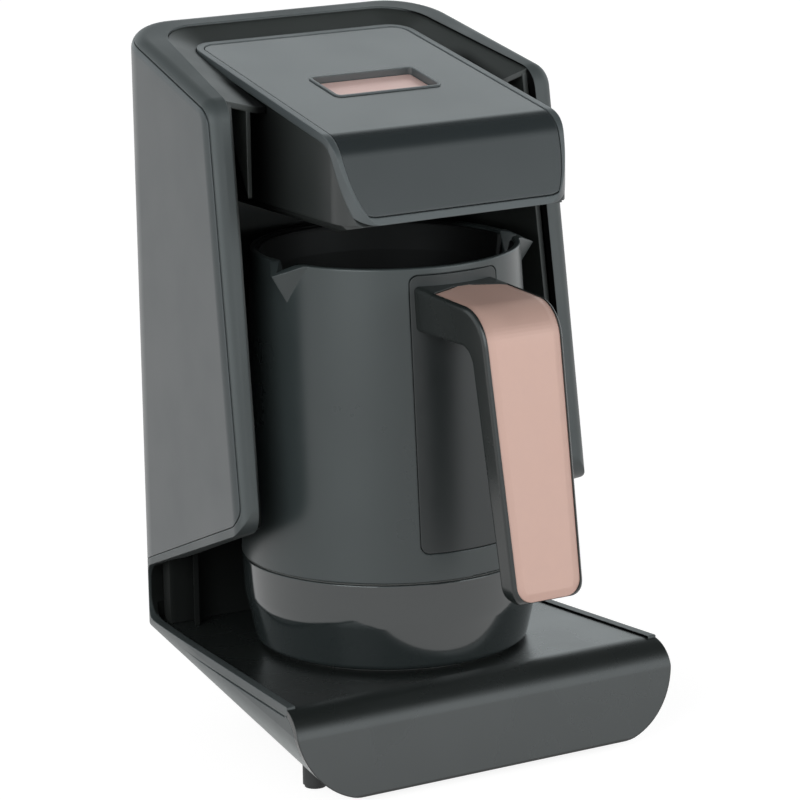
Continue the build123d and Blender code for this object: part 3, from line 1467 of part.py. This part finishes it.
# ---------------------------------------------------------------- assembly
nodes = {
    "main_housing": makeHousing,
    "side_panel_left": lambda: makeSidePanel(-1),
    "side_panel_right": lambda: makeSidePanel(1),
    "column_liner": makeLiner,
    "base_deck": makeDeck,
    "bottom_plinth": makePlinth,
    "plinth_screws": makePlinthScrews,
    "front_feet": makeFrontFeet,
    "rear_feet": makeRearFeet,
    "rest_pad": makeRestPad,
    "coupling_base": makeCoupling,
    "coupling_contacts": makeCouplingContacts,
    "coupling_screws": makeCouplingScrews,
    "power_board": makePowerBoard,
    "board_screws": makeBoardScrews,
    "relay": makeRelay,
    "transformer": makeTransformer,
    "filter_parts": makeFilterParts,
    "buzzer": makeBuzzer,
    "internal_harness": makeHarness,
    "cord_gland": makeGland,
    "cord_clamp": makeClamp,
    "head_housing": makeHeadBody,
    "head_rim": makeHeadCap,
    "head_top_panel": makeInlay,
    "window_bezel": makeBezel,
    "button_guide": makeButtonGuide,
    "user_board": makeUserBoard,
    "tact_switch": makeTactSwitch,
    "indicator_lamps": makeLamps,
    "light_pipe": makeLightPipe,
    "boil_sensor": makeSensor,
    "sensor_window": makeSensorWindow,
    "head_screws": makeHeadScrews,
    "column_screws": makeColumnScrews,
    "start_button": makeButton,
    "button_spring": makeButtonSpring,
    "jug_shell": makeJugShell,
    "inner_pot": makePot,
    "pot_carrier": makeCarrier,
    "handle_mount_plate": makePlate,
    "seam_gasket": makeSeamGasket,
    "bottom_cup": makeCup,
    "heating_plate": makeHeatingPlate,
    "heating_element": makeElement,
    "thermostat": makeThermostat,
    "jug_coupling": makeSocket,
    "socket_contacts": makeSocketContacts,
    "cup_screws": makeCupScrews,
    "handle_body": makeHandle,
    "handle_inlay": makePink,
    "handle_insert": makeInsert,
    "handle_screws": makeHandleScrews,
}

if __name__ == "__main__":
    os.makedirs("parts", exist_ok=True)
    pieces = {name: make() for name, make in nodes.items()}
    boxes = [piece.bounding_box() for piece in pieces.values()]
    middle = (min(limits.min.Y for limits in boxes) + max(limits.max.Y for limits in boxes)) / 2
    floor = min(limits.min.Z for limits in boxes)
    for name, piece in pieces.items():
        export_step(Pos(0, -middle, -floor) * piece, f"parts/{name}.step")
        print(name)
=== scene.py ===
import bpy
import numpy as np
from mathutils import Matrix


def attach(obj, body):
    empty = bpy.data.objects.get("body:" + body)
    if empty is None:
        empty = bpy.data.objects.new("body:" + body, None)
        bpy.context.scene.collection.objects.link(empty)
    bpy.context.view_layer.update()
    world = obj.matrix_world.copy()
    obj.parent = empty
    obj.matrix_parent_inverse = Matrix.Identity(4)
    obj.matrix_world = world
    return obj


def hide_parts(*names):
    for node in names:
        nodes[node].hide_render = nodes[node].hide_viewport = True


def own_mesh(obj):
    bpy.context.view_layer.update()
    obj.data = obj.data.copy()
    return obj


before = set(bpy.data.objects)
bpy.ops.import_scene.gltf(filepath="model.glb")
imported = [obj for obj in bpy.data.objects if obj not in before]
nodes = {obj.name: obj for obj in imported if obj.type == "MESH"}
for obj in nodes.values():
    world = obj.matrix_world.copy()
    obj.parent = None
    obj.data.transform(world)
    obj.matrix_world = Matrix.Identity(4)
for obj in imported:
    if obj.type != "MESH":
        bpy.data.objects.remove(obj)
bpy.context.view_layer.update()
print("frame loaded:", len(nodes), "pieces")


def addNode(tree, kind, **settings):
    node = tree.nodes.new(kind)
    for key, value in settings.items():
        setattr(node, key, value)
    return node


# gives a socket a constant, or links another node's output to it
def feed(tree, socket, value):
    if isinstance(value, bpy.types.NodeSocket):
        tree.links.new(value, socket)
    else:
        socket.default_value = value


def splitParts(tree, socket):
    split = addNode(tree, "ShaderNodeSeparateXYZ")
    tree.links.new(socket, split.inputs[0])
    return split.outputs


# result of a Math node, each of its values a constant or a socket
def calculate(tree, operation, *values, clamp=False):
    node = addNode(tree, "ShaderNodeMath", operation=operation, use_clamp=clamp)
    for socket, value in zip(node.inputs, values):
        feed(tree, socket, value)
    return node.outputs[0]


# a value carried from one pair of limits to another, along a straight line or softly
def mapRange(tree, socket, source=(0.0, 1.0), target=(0.0, 1.0), soft=False):
    node = addNode(tree, "ShaderNodeMapRange", interpolation_type="SMOOTHSTEP" if soft else "LINEAR")
    for name, value in zip(("From Min", "From Max", "To Min", "To Max"), (*source, *target)):
        node.inputs[name].default_value = value
    tree.links.new(socket, node.inputs["Value"])
    return node.outputs["Result"]


def mixColours(tree, share, first, second):
    node = addNode(tree, "ShaderNodeMix", data_type="RGBA")
    feed(tree, node.inputs["Factor"], share)
    feed(tree, node.inputs["A"], first)
    feed(tree, node.inputs["B"], second)
    return node.outputs["Result"]


# mesh object from points and faces, shaded smooth
def addPiece(name, points, faces):
    mesh = bpy.data.meshes.new(name)
    mesh.from_pydata(points.tolist(), [], faces)
    mesh.polygons.foreach_set("use_smooth", np.ones(len(mesh.polygons), dtype=bool))
    piece = bpy.data.objects.new(name, mesh)
    bpy.context.scene.collection.objects.link(piece)
    return piece


# world matrix of an object with these x, y and z axes at this place
def poseFrom(axes, place):
    pose = Matrix(np.array(axes).T.tolist()).to_4x4()
    pose.translation = place
    return pose


# a new material with its node tree and its Principled shader
def newMaterial(name):
    material = bpy.data.materials.new(name)
    material.use_nodes = True
    tree = material.node_tree
    return material, tree, tree.nodes["Principled BSDF"]


camera = {
    "place": (-0.695587, -1.144618, 0.435790),
    "right": (0.85307077, -0.52153084, -0.01660866),
    "up": (0.13336455, 0.18715146, 0.97323596),
    "back": (-0.50446423, -0.83245415, 0.22920716),
    "lens": 180.0,
    "sensor": 36.0,
    "farthest": 20.0,
}


def addCamera(values):
    lens = bpy.data.cameras.new("camera")
    lens.sensor_width = values["sensor"]
    lens.lens = values["lens"]
    lens.clip_end = values["farthest"]
    eye = bpy.data.objects.new("camera", lens)
    eye.matrix_world = poseFrom([values["right"], values["up"], values["back"]], values["place"])
    bpy.context.scene.collection.objects.link(eye)
    bpy.context.scene.camera = eye


light = {
    "tint": (0.925, 1.0, 1.02),                     # slightly cool
    "target": (0.0, 0.0, 0.12),                     # where both lamps point
    "left": {"place": (-1.5, -0.9, 0.75), "size": 1.1, "power": 12.0},
    "front": {"place": (0.85, -1.6, 0.32), "size": 1.2, "power": 7.5},
    "sky": {"low": 1.25, "high": 0.10, "dimFrom": 0.50, "dimTo": 0.72},
}


def addSoftbox(name, values, tint, target):
    lamp = bpy.data.lights.new(name, "AREA")
    lamp.shape = "SQUARE"
    lamp.size = values["size"]
    lamp.energy = values["power"]
    lamp.color = tint
    box = bpy.data.objects.new(name, lamp)
    away = np.array(values["place"]) - np.array(target)
    away = away / np.linalg.norm(away)
    side = np.cross((0, 0, 1), away)
    side = side / np.linalg.norm(side)
    box.matrix_world = poseFrom([side, np.cross(away, side), away], values["place"])
    bpy.context.scene.collection.objects.link(box)


# bright all round at the height of the horizon, dimming towards the zenith like a studio's dark ceiling
def makeWorld(sky, tint):
    world = bpy.data.worlds.new("studio")
    bpy.context.scene.world = world
    world.use_nodes = True
    tree = world.node_tree
    tree.nodes.clear()
    place = addNode(tree, "ShaderNodeTexCoord")
    height = splitParts(tree, place.outputs["Generated"])["Z"]
    lit = addNode(tree, "ShaderNodeBackground")
    lit.inputs["Color"].default_value = (*tint, 1.0)
    fall = mapRange(tree, height, (sky["dimFrom"], sky["dimTo"]), (sky["low"], sky["high"]), soft=True)
    tree.links.new(fall, lit.inputs["Strength"])
    out = addNode(tree, "ShaderNodeOutputWorld")
    tree.links.new(lit.outputs[0], out.inputs[0])


# 1 where a ray should see plain white: the camera, glossy and transmission ray flags added up
def seenAsBackground(tree):
    path = addNode(tree, "ShaderNodeLightPath")
    seen = calculate(tree, "ADD", path.outputs["Is Camera Ray"], path.outputs["Is Glossy Ray"], clamp=True)
    return calculate(tree, "ADD", seen, path.outputs["Is Transmission Ray"], clamp=True)


ground = {
    "radius": 6.0,
    "sides": 96,
    "matt": (0.324, 0.300, 0.294, 1.0),             # takes the soft shadow, and cancels the light's tint
    "glow": 0.86,                                   # makes up the rest to white
}


# flat disc far wider than the object, white to the eye and still taking a soft shadow
def makeFloor(values):
    turn = np.linspace(0, 2 * np.pi, values["sides"] + 1)[:-1]
    rim = np.stack([np.cos(turn), np.sin(turn), np.zeros_like(turn)], axis=1) * values["radius"]
    floor = addPiece("floor", rim, [list(range(len(rim)))])
    material, tree, _ = newMaterial("floor_white")
    tree.nodes.clear()
    matt = addNode(tree, "ShaderNodeBsdfDiffuse")
    matt.inputs["Color"].default_value = values["matt"]
    glow = addNode(tree, "ShaderNodeEmission")
    glow.inputs["Color"].default_value = (1.0, 1.0, 1.0, 1.0)
    strength = calculate(tree, "MULTIPLY", seenAsBackground(tree), values["glow"])
    tree.links.new(strength, glow.inputs["Strength"])
    both = addNode(tree, "ShaderNodeAddShader")
    tree.links.new(matt.outputs[0], both.inputs[0])
    tree.links.new(glow.outputs[0], both.inputs[1])
    out = addNode(tree, "ShaderNodeOutputMaterial")
    tree.links.new(both.outputs[0], out.inputs["Surface"])
    floor.data.materials.append(material)


bpy.context.scene.view_settings.view_transform = "Standard"
addCamera(camera)
for side in ("left", "front"):
    addSoftbox(side, light[side], light["tint"], light["target"])
makeWorld(light["sky"], light["tint"])
makeFloor(ground)
print("camera and light set")


# linear colour from 0 to 255 display values
def rgb(r, g, b):
    value = np.array([r, g, b]) / 255.0
    linear = np.where(value <= 0.04045, value / 12.92, ((value + 0.055) / 1.055) ** 2.4)
    return (*linear.tolist(), 1.0)


# a linear colour times a factor, with a lift added
def scaled(colour, factor, lift=0.0):
    return (*[min(c * factor + lift, 1.0) for c in colour[:3]], 1.0)


# what every moulded plastic has unless its own finish says otherwise
moulded = {
    "slowScale": 38.0, "slowDetail": 5.0,           # mottling
    "fineScale": 2600.0, "fineDetail": 2.0,         # grain
    "grainHeight": 0.00005,
    "edge": 0.0006, "edgeSamples": 6,               # radius that edges look rounded to
    # edges painted lighter, partly as wear and partly as painted highlight
    "edgeWearAndSheen": 0.22, "wearAndSheenTurn": (0.985, 0.80),        # most edge lightening, and the cosines of turn it grows between
    "wornAndSheenTone": (2.2, 0.01),                        # factor and lift of the lighter edge colour
    "glossFrom": (0.3, 0.7), "glossSpread": 0.12,
    "ior": 1.5,
    "specular": 0.5,
    "paintedShading": [],
}

# Painted shading is a second colour over part of a piece. It is either painted shade, darker where shade
# falls, or a painted reflection, lighter. It is the product of steps: Y and Z by place, wide by distance
# from the middle plane, normalY and normalZ by the normal, inward by how far a face looks inwards. Each step
# goes from 0 at its first limit to 1 at its second. Gleam is the share of the gloss left at 1.
finishes = {
    "side_panel_grey": {"colour": (60, 64, 65), "rough": 0.34, "mottle": 0.05, "grain": 0.10},
    "housing_grey": {
        "colour": (62, 66, 66), "rough": 0.46, "mottle": 0.06, "grain": 0.10,
        "paintedShading": [
            # painted shade inside the walls
            {"colour": (12, 12, 12), "gleam": 0.08, "inward": (-0.020, -0.045)},
            # painted shade at the back of the notch
            {"colour": (24, 25, 24), "gleam": 0.08, "Y": (0.060, 0.070), "Z": (0.075, 0.065),
             "wide": (0.0608, 0.0598), "normalY": (-0.3, -0.7)},
            # painted reflection of the white floor, lighter on the hull's underside
            {"colour": (122, 126, 125), "gleam": 1.0, "Z": (0.040, 0.012), "normalZ": (-0.10, -0.45)},
        ],
    },
    "liner_black": {
        "colour": (42, 44, 42), "rough": 0.40, "mottle": 0.08, "grain": 0.12,
        "paintedShading": [
            # painted shade, darker down the foot
            {"colour": (18, 19, 18), "gleam": 0.08, "Z": (0.125, 0.090)},
            # painted shade on the wall behind the jug, under the head
            {"colour": (30, 31, 30), "gleam": 0.35, "Y": (0.030, 0.045), "Z": (0.190, 0.176)},
            # painted shadow on the ledge beside the head
            {"colour": (9, 9, 9), "gleam": 0.08, "Y": (0.045, 0.032), "Z": (0.218, 0.222),
             "wide": (0.053, 0.047)},
        ],
    },
    "deck_gloss": {"colour": (30, 32, 31), "rough": 0.27, "mottle": 0.05, "grain": 0.04},
    "head_black": {
        "colour": (42, 44, 43), "rough": 0.32, "mottle": 0.06, "grain": 0.08,
        "paintedShading": [
            # painted shade, darker towards the column
            {"colour": (12, 12, 12), "gleam": 0.3, "Y": (-0.014, 0.022)},
        ],
    },
    "rim_grey": {"colour": (74, 78, 79), "rough": 0.33, "mottle": 0.05, "grain": 0.06},
    "panel_gloss_grey": {"colour": (42, 46, 47), "rough": 0.21, "mottle": 0.04, "grain": 0.05},
    "jug_satin": {
        "colour": (54, 59, 59), "rough": 0.30, "mottle": 0.05, "grain": 0.08,
        "paintedShading": [
            # painted shade on the rear rim, under the head
            {"colour": (16, 16, 16), "gleam": 0.08, "Y": (0.018, 0.032), "Z": (0.155, 0.170)},
        ],
    },
    "cup_gloss": {"colour": (40, 44, 44), "rough": 0.09, "mottle": 0.04, "grain": 0.03, "ior": 1.70},
    "plate_satin": {"colour": (30, 33, 33), "rough": 0.40, "mottle": 0.05, "grain": 0.08},
    "handle_black": {"colour": (32, 35, 34), "rough": 0.26, "mottle": 0.05, "grain": 0.06},
    "pot_coating": {"colour": (17, 17, 17), "rough": 0.55, "mottle": 0.10, "grain": 0.20, "specular": 0.3},
    "rubber_black": {"colour": (30, 30, 30), "rough": 0.62, "mottle": 0.10, "grain": 0.25},
    "silicone_grey": {"colour": (70, 70, 68), "rough": 0.55, "mottle": 0.08, "grain": 0.15},
    "nylon_black": {"colour": (36, 37, 36), "rough": 0.42, "mottle": 0.08, "grain": 0.15},
    "nylon_white": {"colour": (205, 202, 192), "rough": 0.42, "mottle": 0.05, "grain": 0.12},
    "board_green": {"colour": (30, 92, 52), "rough": 0.30, "mottle": 0.14, "grain": 0.10},
    "relay_blue": {"colour": (36, 66, 130), "rough": 0.35, "mottle": 0.05, "grain": 0.08},
    "tape_yellow": {"colour": (196, 160, 60), "rough": 0.45, "mottle": 0.08, "grain": 0.12},
    "lamp_resin": {"colour": (226, 222, 206), "rough": 0.20, "mottle": 0.03, "grain": 0.03},
    "wire_sleeve": {"colour": (196, 193, 184), "rough": 0.50, "mottle": 0.07, "grain": 0.15},
}


def addNoise(tree, place, scale, detail):
    noise = addNode(tree, "ShaderNodeTexNoise")
    noise.inputs["Scale"].default_value = scale
    noise.inputs["Detail"].default_value = detail
    tree.links.new(place, noise.inputs["Vector"])
    return noise.outputs["Fac"]


# slow mottling and a fine moulded grain, both on object coordinates
def addTextures(tree, values):
    place = addNode(tree, "ShaderNodeTexCoord").outputs["Object"]
    slow = addNoise(tree, place, values["slowScale"], values["slowDetail"])
    fine = addNoise(tree, place, values["fineScale"], values["fineDetail"])
    return slow, fine


# normal with its edges rounded
def roundedNormal(tree, values):
    bevel = addNode(tree, "ShaderNodeBevel", samples=values["edgeSamples"])
    bevel.inputs["Radius"].default_value = values["edge"]
    return bevel.outputs["Normal"]


# normal with a texture's height on top of its rounded edges
def grainyNormal(tree, values, height, rounded):
    bump = addNode(tree, "ShaderNodeBump")
    bump.inputs["Strength"].default_value = values["grain"]
    bump.inputs["Distance"].default_value = values["grainHeight"]
    tree.links.new(height, bump.inputs["Height"])
    tree.links.new(rounded, bump.inputs["Normal"])
    return bump.outputs["Normal"]


# how deep a finish is in one patch of its painted shading. A face looks inwards where its normal's x times
# its place's x is below 0.
def paintedShadingAmount(tree, paintedShadingPatch):
    where = addNode(tree, "ShaderNodeTexCoord")
    place = splitParts(tree, where.outputs["Object"])
    normal = splitParts(tree, where.outputs["Normal"])
    measures = {"Y": place["Y"], "Z": place["Z"], "normalY": normal["Y"], "normalZ": normal["Z"]}
    if "wide" in paintedShadingPatch:
        measures["wide"] = calculate(tree, "ABSOLUTE", place["X"])
    if "inward" in paintedShadingPatch:
        measures["inward"] = calculate(tree, "MULTIPLY", normal["X"], place["X"])
    steps = [mapRange(tree, measures[key], paintedShadingPatch[key], soft=True) for key in measures if key in paintedShadingPatch]
    amount = steps[0]
    for step in steps[1:]:
        amount = calculate(tree, "MULTIPLY", amount, step)
    return amount


# moulded plastic: slow mottling, edges lighter as wear and painted highlight, the finish's painted shading,
# uneven gloss and fine grain
def plastic(name, own):
    values = {**moulded, **own}
    material, tree, shader = newMaterial(name)
    shader.inputs["IOR"].default_value = values["ior"]
    slow, fine = addTextures(tree, values)
    base = rgb(*values["colour"])
    mottle, rough, spread = values["mottle"], values["rough"], values["glossSpread"]
    mottled = mixColours(tree, slow, scaled(base, 1 - mottle), scaled(base, 1 + mottle))
    rounded = roundedNormal(tree, values)
    # edges painted lighter where the rounded normal turns away from the true one: partly wear, partly
    # painted highlight
    sharp = addNode(tree, "ShaderNodeNewGeometry")
    turn = addNode(tree, "ShaderNodeVectorMath", operation="DOT_PRODUCT")
    tree.links.new(rounded, turn.inputs[0])
    tree.links.new(sharp.outputs["Normal"], turn.inputs[1])
    wornAndSheen = mapRange(tree, turn.outputs["Value"], values["wearAndSheenTurn"], (0.0, values["edgeWearAndSheen"]))
    colour = mixColours(tree, wornAndSheen, mottled, scaled(base, *values["wornAndSheenTone"]))
    specular = values["specular"]
    # painted shade and painted reflection mixed into the colour, with the gloss cut where painted shade lies
    for paintedShadingPatch in values["paintedShading"]:
        amount = paintedShadingAmount(tree, paintedShadingPatch)
        colour = mixColours(tree, amount, colour, rgb(*paintedShadingPatch["colour"]))
        left = mapRange(tree, amount, target=(1.0, paintedShadingPatch["gleam"]))
        specular = calculate(tree, "MULTIPLY", left, specular)
    gloss = mapRange(tree, slow, values["glossFrom"], (rough * (1 - spread), rough * (1 + spread)))
    tree.links.new(colour, shader.inputs["Base Color"])
    feed(tree, shader.inputs["Specular IOR Level"], specular)
    tree.links.new(gloss, shader.inputs["Roughness"])
    tree.links.new(grainyNormal(tree, values, fine, rounded), shader.inputs["Normal"])
    return material


# what every metal has unless its own finish says otherwise
brushed = {
    "metallic": 1.0,
    "streak": (1, 1, 1),                            # how often the brushing changes along x, y and z
    "brushScale": 90.0, "brushDetail": 6.0,
    "toneSpread": 0.07, "glossSpread": 0.2,
    "grain": 0.15, "grainHeight": 0.00003,
    "edge": 0.0005, "edgeSamples": 6,
}
metals = {
    "copper_satin": {"colour": (197, 159, 146), "rough": 0.44, "metallic": 0.22, "grain": 0.05},
    # the button's copper, painted lighter than the handle's to make up for the shade of its recess
    "copper_bar": {"colour": (246, 205, 196), "rough": 0.38, "metallic": 0.30, "grain": 0.05},
    "screw_steel": {"colour": (160, 160, 158), "rough": 0.32, "streak": (20, 20, 1)},
    "cast_aluminium": {"colour": (190, 190, 192), "rough": 0.45, "grain": 0.3},
    "contact_brass": {"colour": (206, 172, 96), "rough": 0.30, "streak": (1, 1, 20)},
}


# brushed or cast metal: stretched noise gives the brushing in colour, gloss and bump
def metal(name, own):
    values = {**brushed, **own}
    material, tree, shader = newMaterial(name)
    shader.inputs["Metallic"].default_value = values["metallic"]
    place = addNode(tree, "ShaderNodeTexCoord")
    stretch = addNode(tree, "ShaderNodeMapping")
    stretch.inputs["Scale"].default_value = values["streak"]
    tree.links.new(place.outputs["Object"], stretch.inputs["Vector"])
    brush = addNoise(tree, stretch.outputs["Vector"], values["brushScale"], values["brushDetail"])
    base = rgb(*values["colour"])
    tone, rough, spread = values["toneSpread"], values["rough"], values["glossSpread"]
    colour = mixColours(tree, brush, scaled(base, 1 - tone), scaled(base, 1 + tone))
    gloss = mapRange(tree, brush, target=(rough * (1 - spread), rough * (1 + spread)))
    normal = grainyNormal(tree, values, brush, roundedNormal(tree, values))
    tree.links.new(colour, shader.inputs["Base Color"])
    tree.links.new(gloss, shader.inputs["Roughness"])
    tree.links.new(normal, shader.inputs["Normal"])
    return material


resin = {
    "slowScale": 120.0, "slowDetail": 5.0,          # flow marks
    "fineScale": 2600.0, "fineDetail": 2.0,         # haze
    "dull": (0.82, 0.86, 0.86, 1.0),
    "clear": (0.92, 0.94, 0.94, 1.0),
    "rough": (0.05, 0.12),
    "transmission": 0.85,
    "ior": 1.49,
}


# clear moulded plastic with faint flow marks
def clearResin(name, values):
    material, tree, shader = newMaterial(name)
    shader.inputs["Transmission Weight"].default_value = values["transmission"]
    shader.inputs["IOR"].default_value = values["ior"]
    slow, fine = addTextures(tree, values)
    colour = mixColours(tree, slow, values["dull"], values["clear"])
    gloss = mapRange(tree, fine, target=values["rough"])
    tree.links.new(colour, shader.inputs["Base Color"])
    tree.links.new(gloss, shader.inputs["Roughness"])
    return material


materials = {name: plastic(name, own) for name, own in finishes.items()}
materials.update({name: metal(name, own) for name, own in metals.items()})
materials["clear_resin"] = clearResin("clear_resin", resin)

dress = {
    "side_panel_grey": ["side_panel_left", "side_panel_right"],
    "housing_grey": ["main_housing", "bottom_plinth"],
    "liner_black": ["column_liner"],
    "deck_gloss": ["base_deck"],
    "head_black": ["head_housing"],
    "rim_grey": ["head_rim", "window_bezel"],
    "panel_gloss_grey": ["head_top_panel"],
    "jug_satin": ["jug_shell"],
    "cup_gloss": ["bottom_cup"],
    "plate_satin": ["handle_mount_plate"],
    "handle_black": ["handle_body"],
    "copper_satin": ["handle_inlay"],
    "copper_bar": ["start_button"],
    "pot_coating": ["inner_pot"],
    "rubber_black": ["front_feet", "rear_feet", "cord_gland"],
    "silicone_grey": ["rest_pad", "seam_gasket"],
    "nylon_black": ["coupling_base", "jug_coupling", "pot_carrier", "cord_clamp", "filter_parts", "buzzer",
                    "tact_switch"],
    "nylon_white": ["button_guide", "thermostat"],
    "board_green": ["power_board", "user_board"],
    "relay_blue": ["relay"],
    "tape_yellow": ["transformer"],
    "lamp_resin": ["indicator_lamps"],
    "wire_sleeve": ["internal_harness"],
    "screw_steel": ["plinth_screws", "coupling_screws", "board_screws", "head_screws", "column_screws",
                    "button_spring", "heating_element", "cup_screws", "handle_screws"],
    "cast_aluminium": ["heating_plate", "handle_insert", "boil_sensor"],
    "contact_brass": ["coupling_contacts", "socket_contacts"],
    "clear_resin": ["light_pipe", "sensor_window"],
}
for finish, names in dress.items():
    for name in names:
        piece = nodes[name]
        piece.data.materials.clear()
        piece.data.materials.append(materials[finish])
print("finishes on", sum(len(names) for names in dress.values()), "of", len(nodes), "pieces")


# copper strip over the handle: a flat middle with a bevelled band along each edge
strip = {
    "shift": 0.011235,                              # y of the jug's axis
    "root": (-0.0300, 0.1682),                      # the handle's outer line (y, z): root, corner and foot
    "corner": (-0.0855, 0.1654),
    "foot": (-0.1018, 0.0682),
    "bend": 0.014,
    "near": 0.0501,                                 # where the strip starts, ahead of the jug's axis
    "low": 0.0705,                                  # height of its lower end
    "halfHigh": 0.0146, "high": 0.1776,             # half width at two heights
    "halfLow": 0.0123,
    "nose": 0.0040, "noseSpread": 2.25,             # half width of the near end, and how fast it widens
    "cornerRadius": 0.0057,
    "sink": 0.0001,                                 # flat middle below the handle's face
    "band": 0.0027, "bandShare": 0.45,              # band's width, at most this share of the half width
    "drop": 0.00045, "thick": 0.0015,
    "rows": 150, "bandColumns": 5, "middleColumns": 13,
    "sharpDegrees": 5,                              # a turn above this stays a crisp edge
}


# point and outward normal at a length along two straight runs joined by an arc of the bend radius
def handleLine(values, length):
    root, corner, foot = (np.array(values[key]) for key in ("root", "corner", "foot"))
    first, second = corner - root, foot - corner
    firstLength, secondLength = np.linalg.norm(first), np.linalg.norm(second)
    first, second = first / firstLength, second / secondLength
    turn = np.arccos(np.clip(first @ second, -1, 1))
    run = values["bend"] * np.tan(turn / 2)
    arcStart = firstLength - run
    along = np.clip((length - arcStart) / values["bend"], 0, turn)[:, None]
    across = (second - first * np.cos(turn)) / np.sin(turn)
    tangent = first * np.cos(along) + across * np.sin(along)
    arc = values["bend"] * (first * np.sin(along) + across * (1 - np.cos(along)))
    before = np.minimum(length, arcStart)[:, None]
    after = np.maximum(length - arcStart - values["bend"] * turn, 0)[:, None]
    point = root + first * before + arc + tangent * after
    normal = np.stack([tangent[:, 1], -tangent[:, 0]], axis=1)
    return point, normal, firstLength + secondLength - 2 * run + values["bend"] * turn


# closed sheet from an upper and a lower grid of points, numbered row by row, joined round the border
def closedSheet(name, upper, lower):
    rows, columns = upper.shape[:2]
    count = rows * columns
    number = np.arange(count).reshape(rows, columns)
    first = number[:-1, :-1].ravel()
    top = np.stack([first, first + columns, first + columns + 1, first + 1], axis=1)
    loop = np.concatenate([number[0, :-1], number[:-1, -1], number[-1, :0:-1], number[:0:-1, 0]])
    after = np.roll(loop, -1)
    border = np.stack([after, after + count, loop + count, loop], axis=1)
    faces = np.concatenate([top, top[:, ::-1] + count, border])
    points = np.concatenate([upper.reshape(-1, 3), lower.reshape(-1, 3)])
    return addPiece(name, points, faces.tolist())


# place = line(length) + sideways(column) + normal * height, where the height is 0 over the middle and falls
# in a straight bevel to the drop over the band, along both edges and round the lower end
def makeStrip(values):
    whole = handleLine(values, np.zeros(1))[2]
    lowerRun = np.array(values["foot"]) - values["corner"]
    slant = np.linalg.norm(lowerRun) / -lowerRun[1]
    start = values["near"] + values["root"][0]
    end = whole - (values["low"] - values["foot"][1]) * slant
    share = np.linspace(0, 1, values["rows"])
    share = 0.5 - 0.5 * np.cos(np.pi * share)       # rows crowd towards both ends
    length = start + (end - start) * share
    line, normal, _ = handleLine(values, length)
    rise = (line[:, 1] - values["low"]) / (values["high"] - values["low"])
    half = values["halfLow"] + (values["halfHigh"] - values["halfLow"]) * rise
    half = np.minimum(half, values["nose"] + values["noseSpread"] * (-line[:, 0] - values["near"]))
    left = np.clip(values["cornerRadius"] - (end - length), 0, values["cornerRadius"])
    half = half - (values["cornerRadius"] - np.sqrt(values["cornerRadius"] ** 2 - left ** 2))
    edge = np.linspace(1, 0, values["bandColumns"])[:-1]
    middle = np.linspace(-1, 1, values["middleColumns"])
    inner = np.concatenate([np.full_like(edge, -1), middle, np.full_like(edge, 1)])
    outer = np.concatenate([-edge, np.zeros_like(middle), edge[::-1]])
    band = np.minimum(values["band"], half * values["bandShare"])[:, None]
    sideways = inner * (half[:, None] - band) + outer * band
    lower = np.clip(1 - (end - length) / values["band"], 0, 1)[:, None]
    fall = -values["sink"] - values["drop"] * np.maximum(np.abs(outer), lower)
    deep = np.full_like(fall, -values["thick"])
    sheets = []
    for height in (fall, deep):
        y = line[:, :1] + normal[:, :1] * height + values["shift"]
        z = line[:, 1:] + normal[:, 1:] * height
        sheets.append(np.stack([sideways, y, z], axis=2))
    piece = closedSheet("handle_strip", *sheets)
    piece.data.set_sharp_from_angle(angle=np.radians(values["sharpDegrees"]))
    return piece


handleStrip = makeStrip(strip)
handleStrip.data.materials.append(materials["copper_satin"])
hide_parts("handle_inlay")
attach(handleStrip, "jug")
print("handle strip made:", len(handleStrip.data.polygons), "faces")


# coil spring round the button's stem, between the bar and the guide
spring = {
    "middle": (0.0, 0.017565, 0.221640),
    "axis": (0.0, -0.199885, 0.979819),             # the way the button stands out
    "radius": 0.0034, "wire": 0.00035,
    "run": 0.00366, "turns": 3,
    "travel": 0.0012,                               # the button's stroke
    "rows": 145, "ringPoints": 12,
}


# tube of the wire's radius round a helix: place = middle + axis * run * (share - 1/2) + outward * radius,
# where outward turns round the axis. Each ring lies across the tangent, and both ends close on a point.
def makeSpring(values):
    axis = np.array(values["axis"])
    side = np.array((1.0, 0.0, 0.0))
    other = np.cross(axis, side)
    share = np.linspace(0, 1, values["rows"])[:, None]
    turn = share * 2 * np.pi * values["turns"]
    outward = side * np.cos(turn) + other * np.sin(turn)
    line = np.array(values["middle"]) + axis * values["run"] * (share - 0.5) + outward * values["radius"]
    pitch = values["run"] / (2 * np.pi * values["turns"])
    tangent = (other * np.cos(turn) - side * np.sin(turn)) * values["radius"] + axis * pitch
    tangent = tangent / np.linalg.norm(tangent, axis=1, keepdims=True)
    across = np.cross(tangent, outward)
    count = values["ringPoints"]
    ring = np.linspace(0, 2 * np.pi, count + 1)[:-1]
    spread = outward[:, None] * np.cos(ring)[:, None] + across[:, None] * np.sin(ring)[:, None]
    tube = (line[:, None] + spread * values["wire"]).reshape(-1, 3)
    number = np.arange(len(tube)).reshape(-1, count)
    after = np.roll(number, -1, axis=1)
    walls = np.stack([number[:-1], after[:-1], after[1:], number[1:]], axis=2).reshape(-1, 4)
    low, high = len(tube), len(tube) + 1
    points = np.concatenate([tube, line[:1], line[-1:]])
    faces = walls.tolist()
    faces += [[low, second, first] for first, second in zip(number[0].tolist(), after[0].tolist())]
    faces += [[high, first, second] for first, second in zip(number[-1].tolist(), after[-1].tolist())]
    return addPiece("coil_spring", points, faces)


coilSpring = makeSpring(spring)
coilSpring.data.materials.append(materials["screw_steel"])
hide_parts("button_spring")
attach(coilSpring, "stand")
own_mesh(coilSpring)
print("coil spring made:", len(coilSpring.data.polygons), "faces")
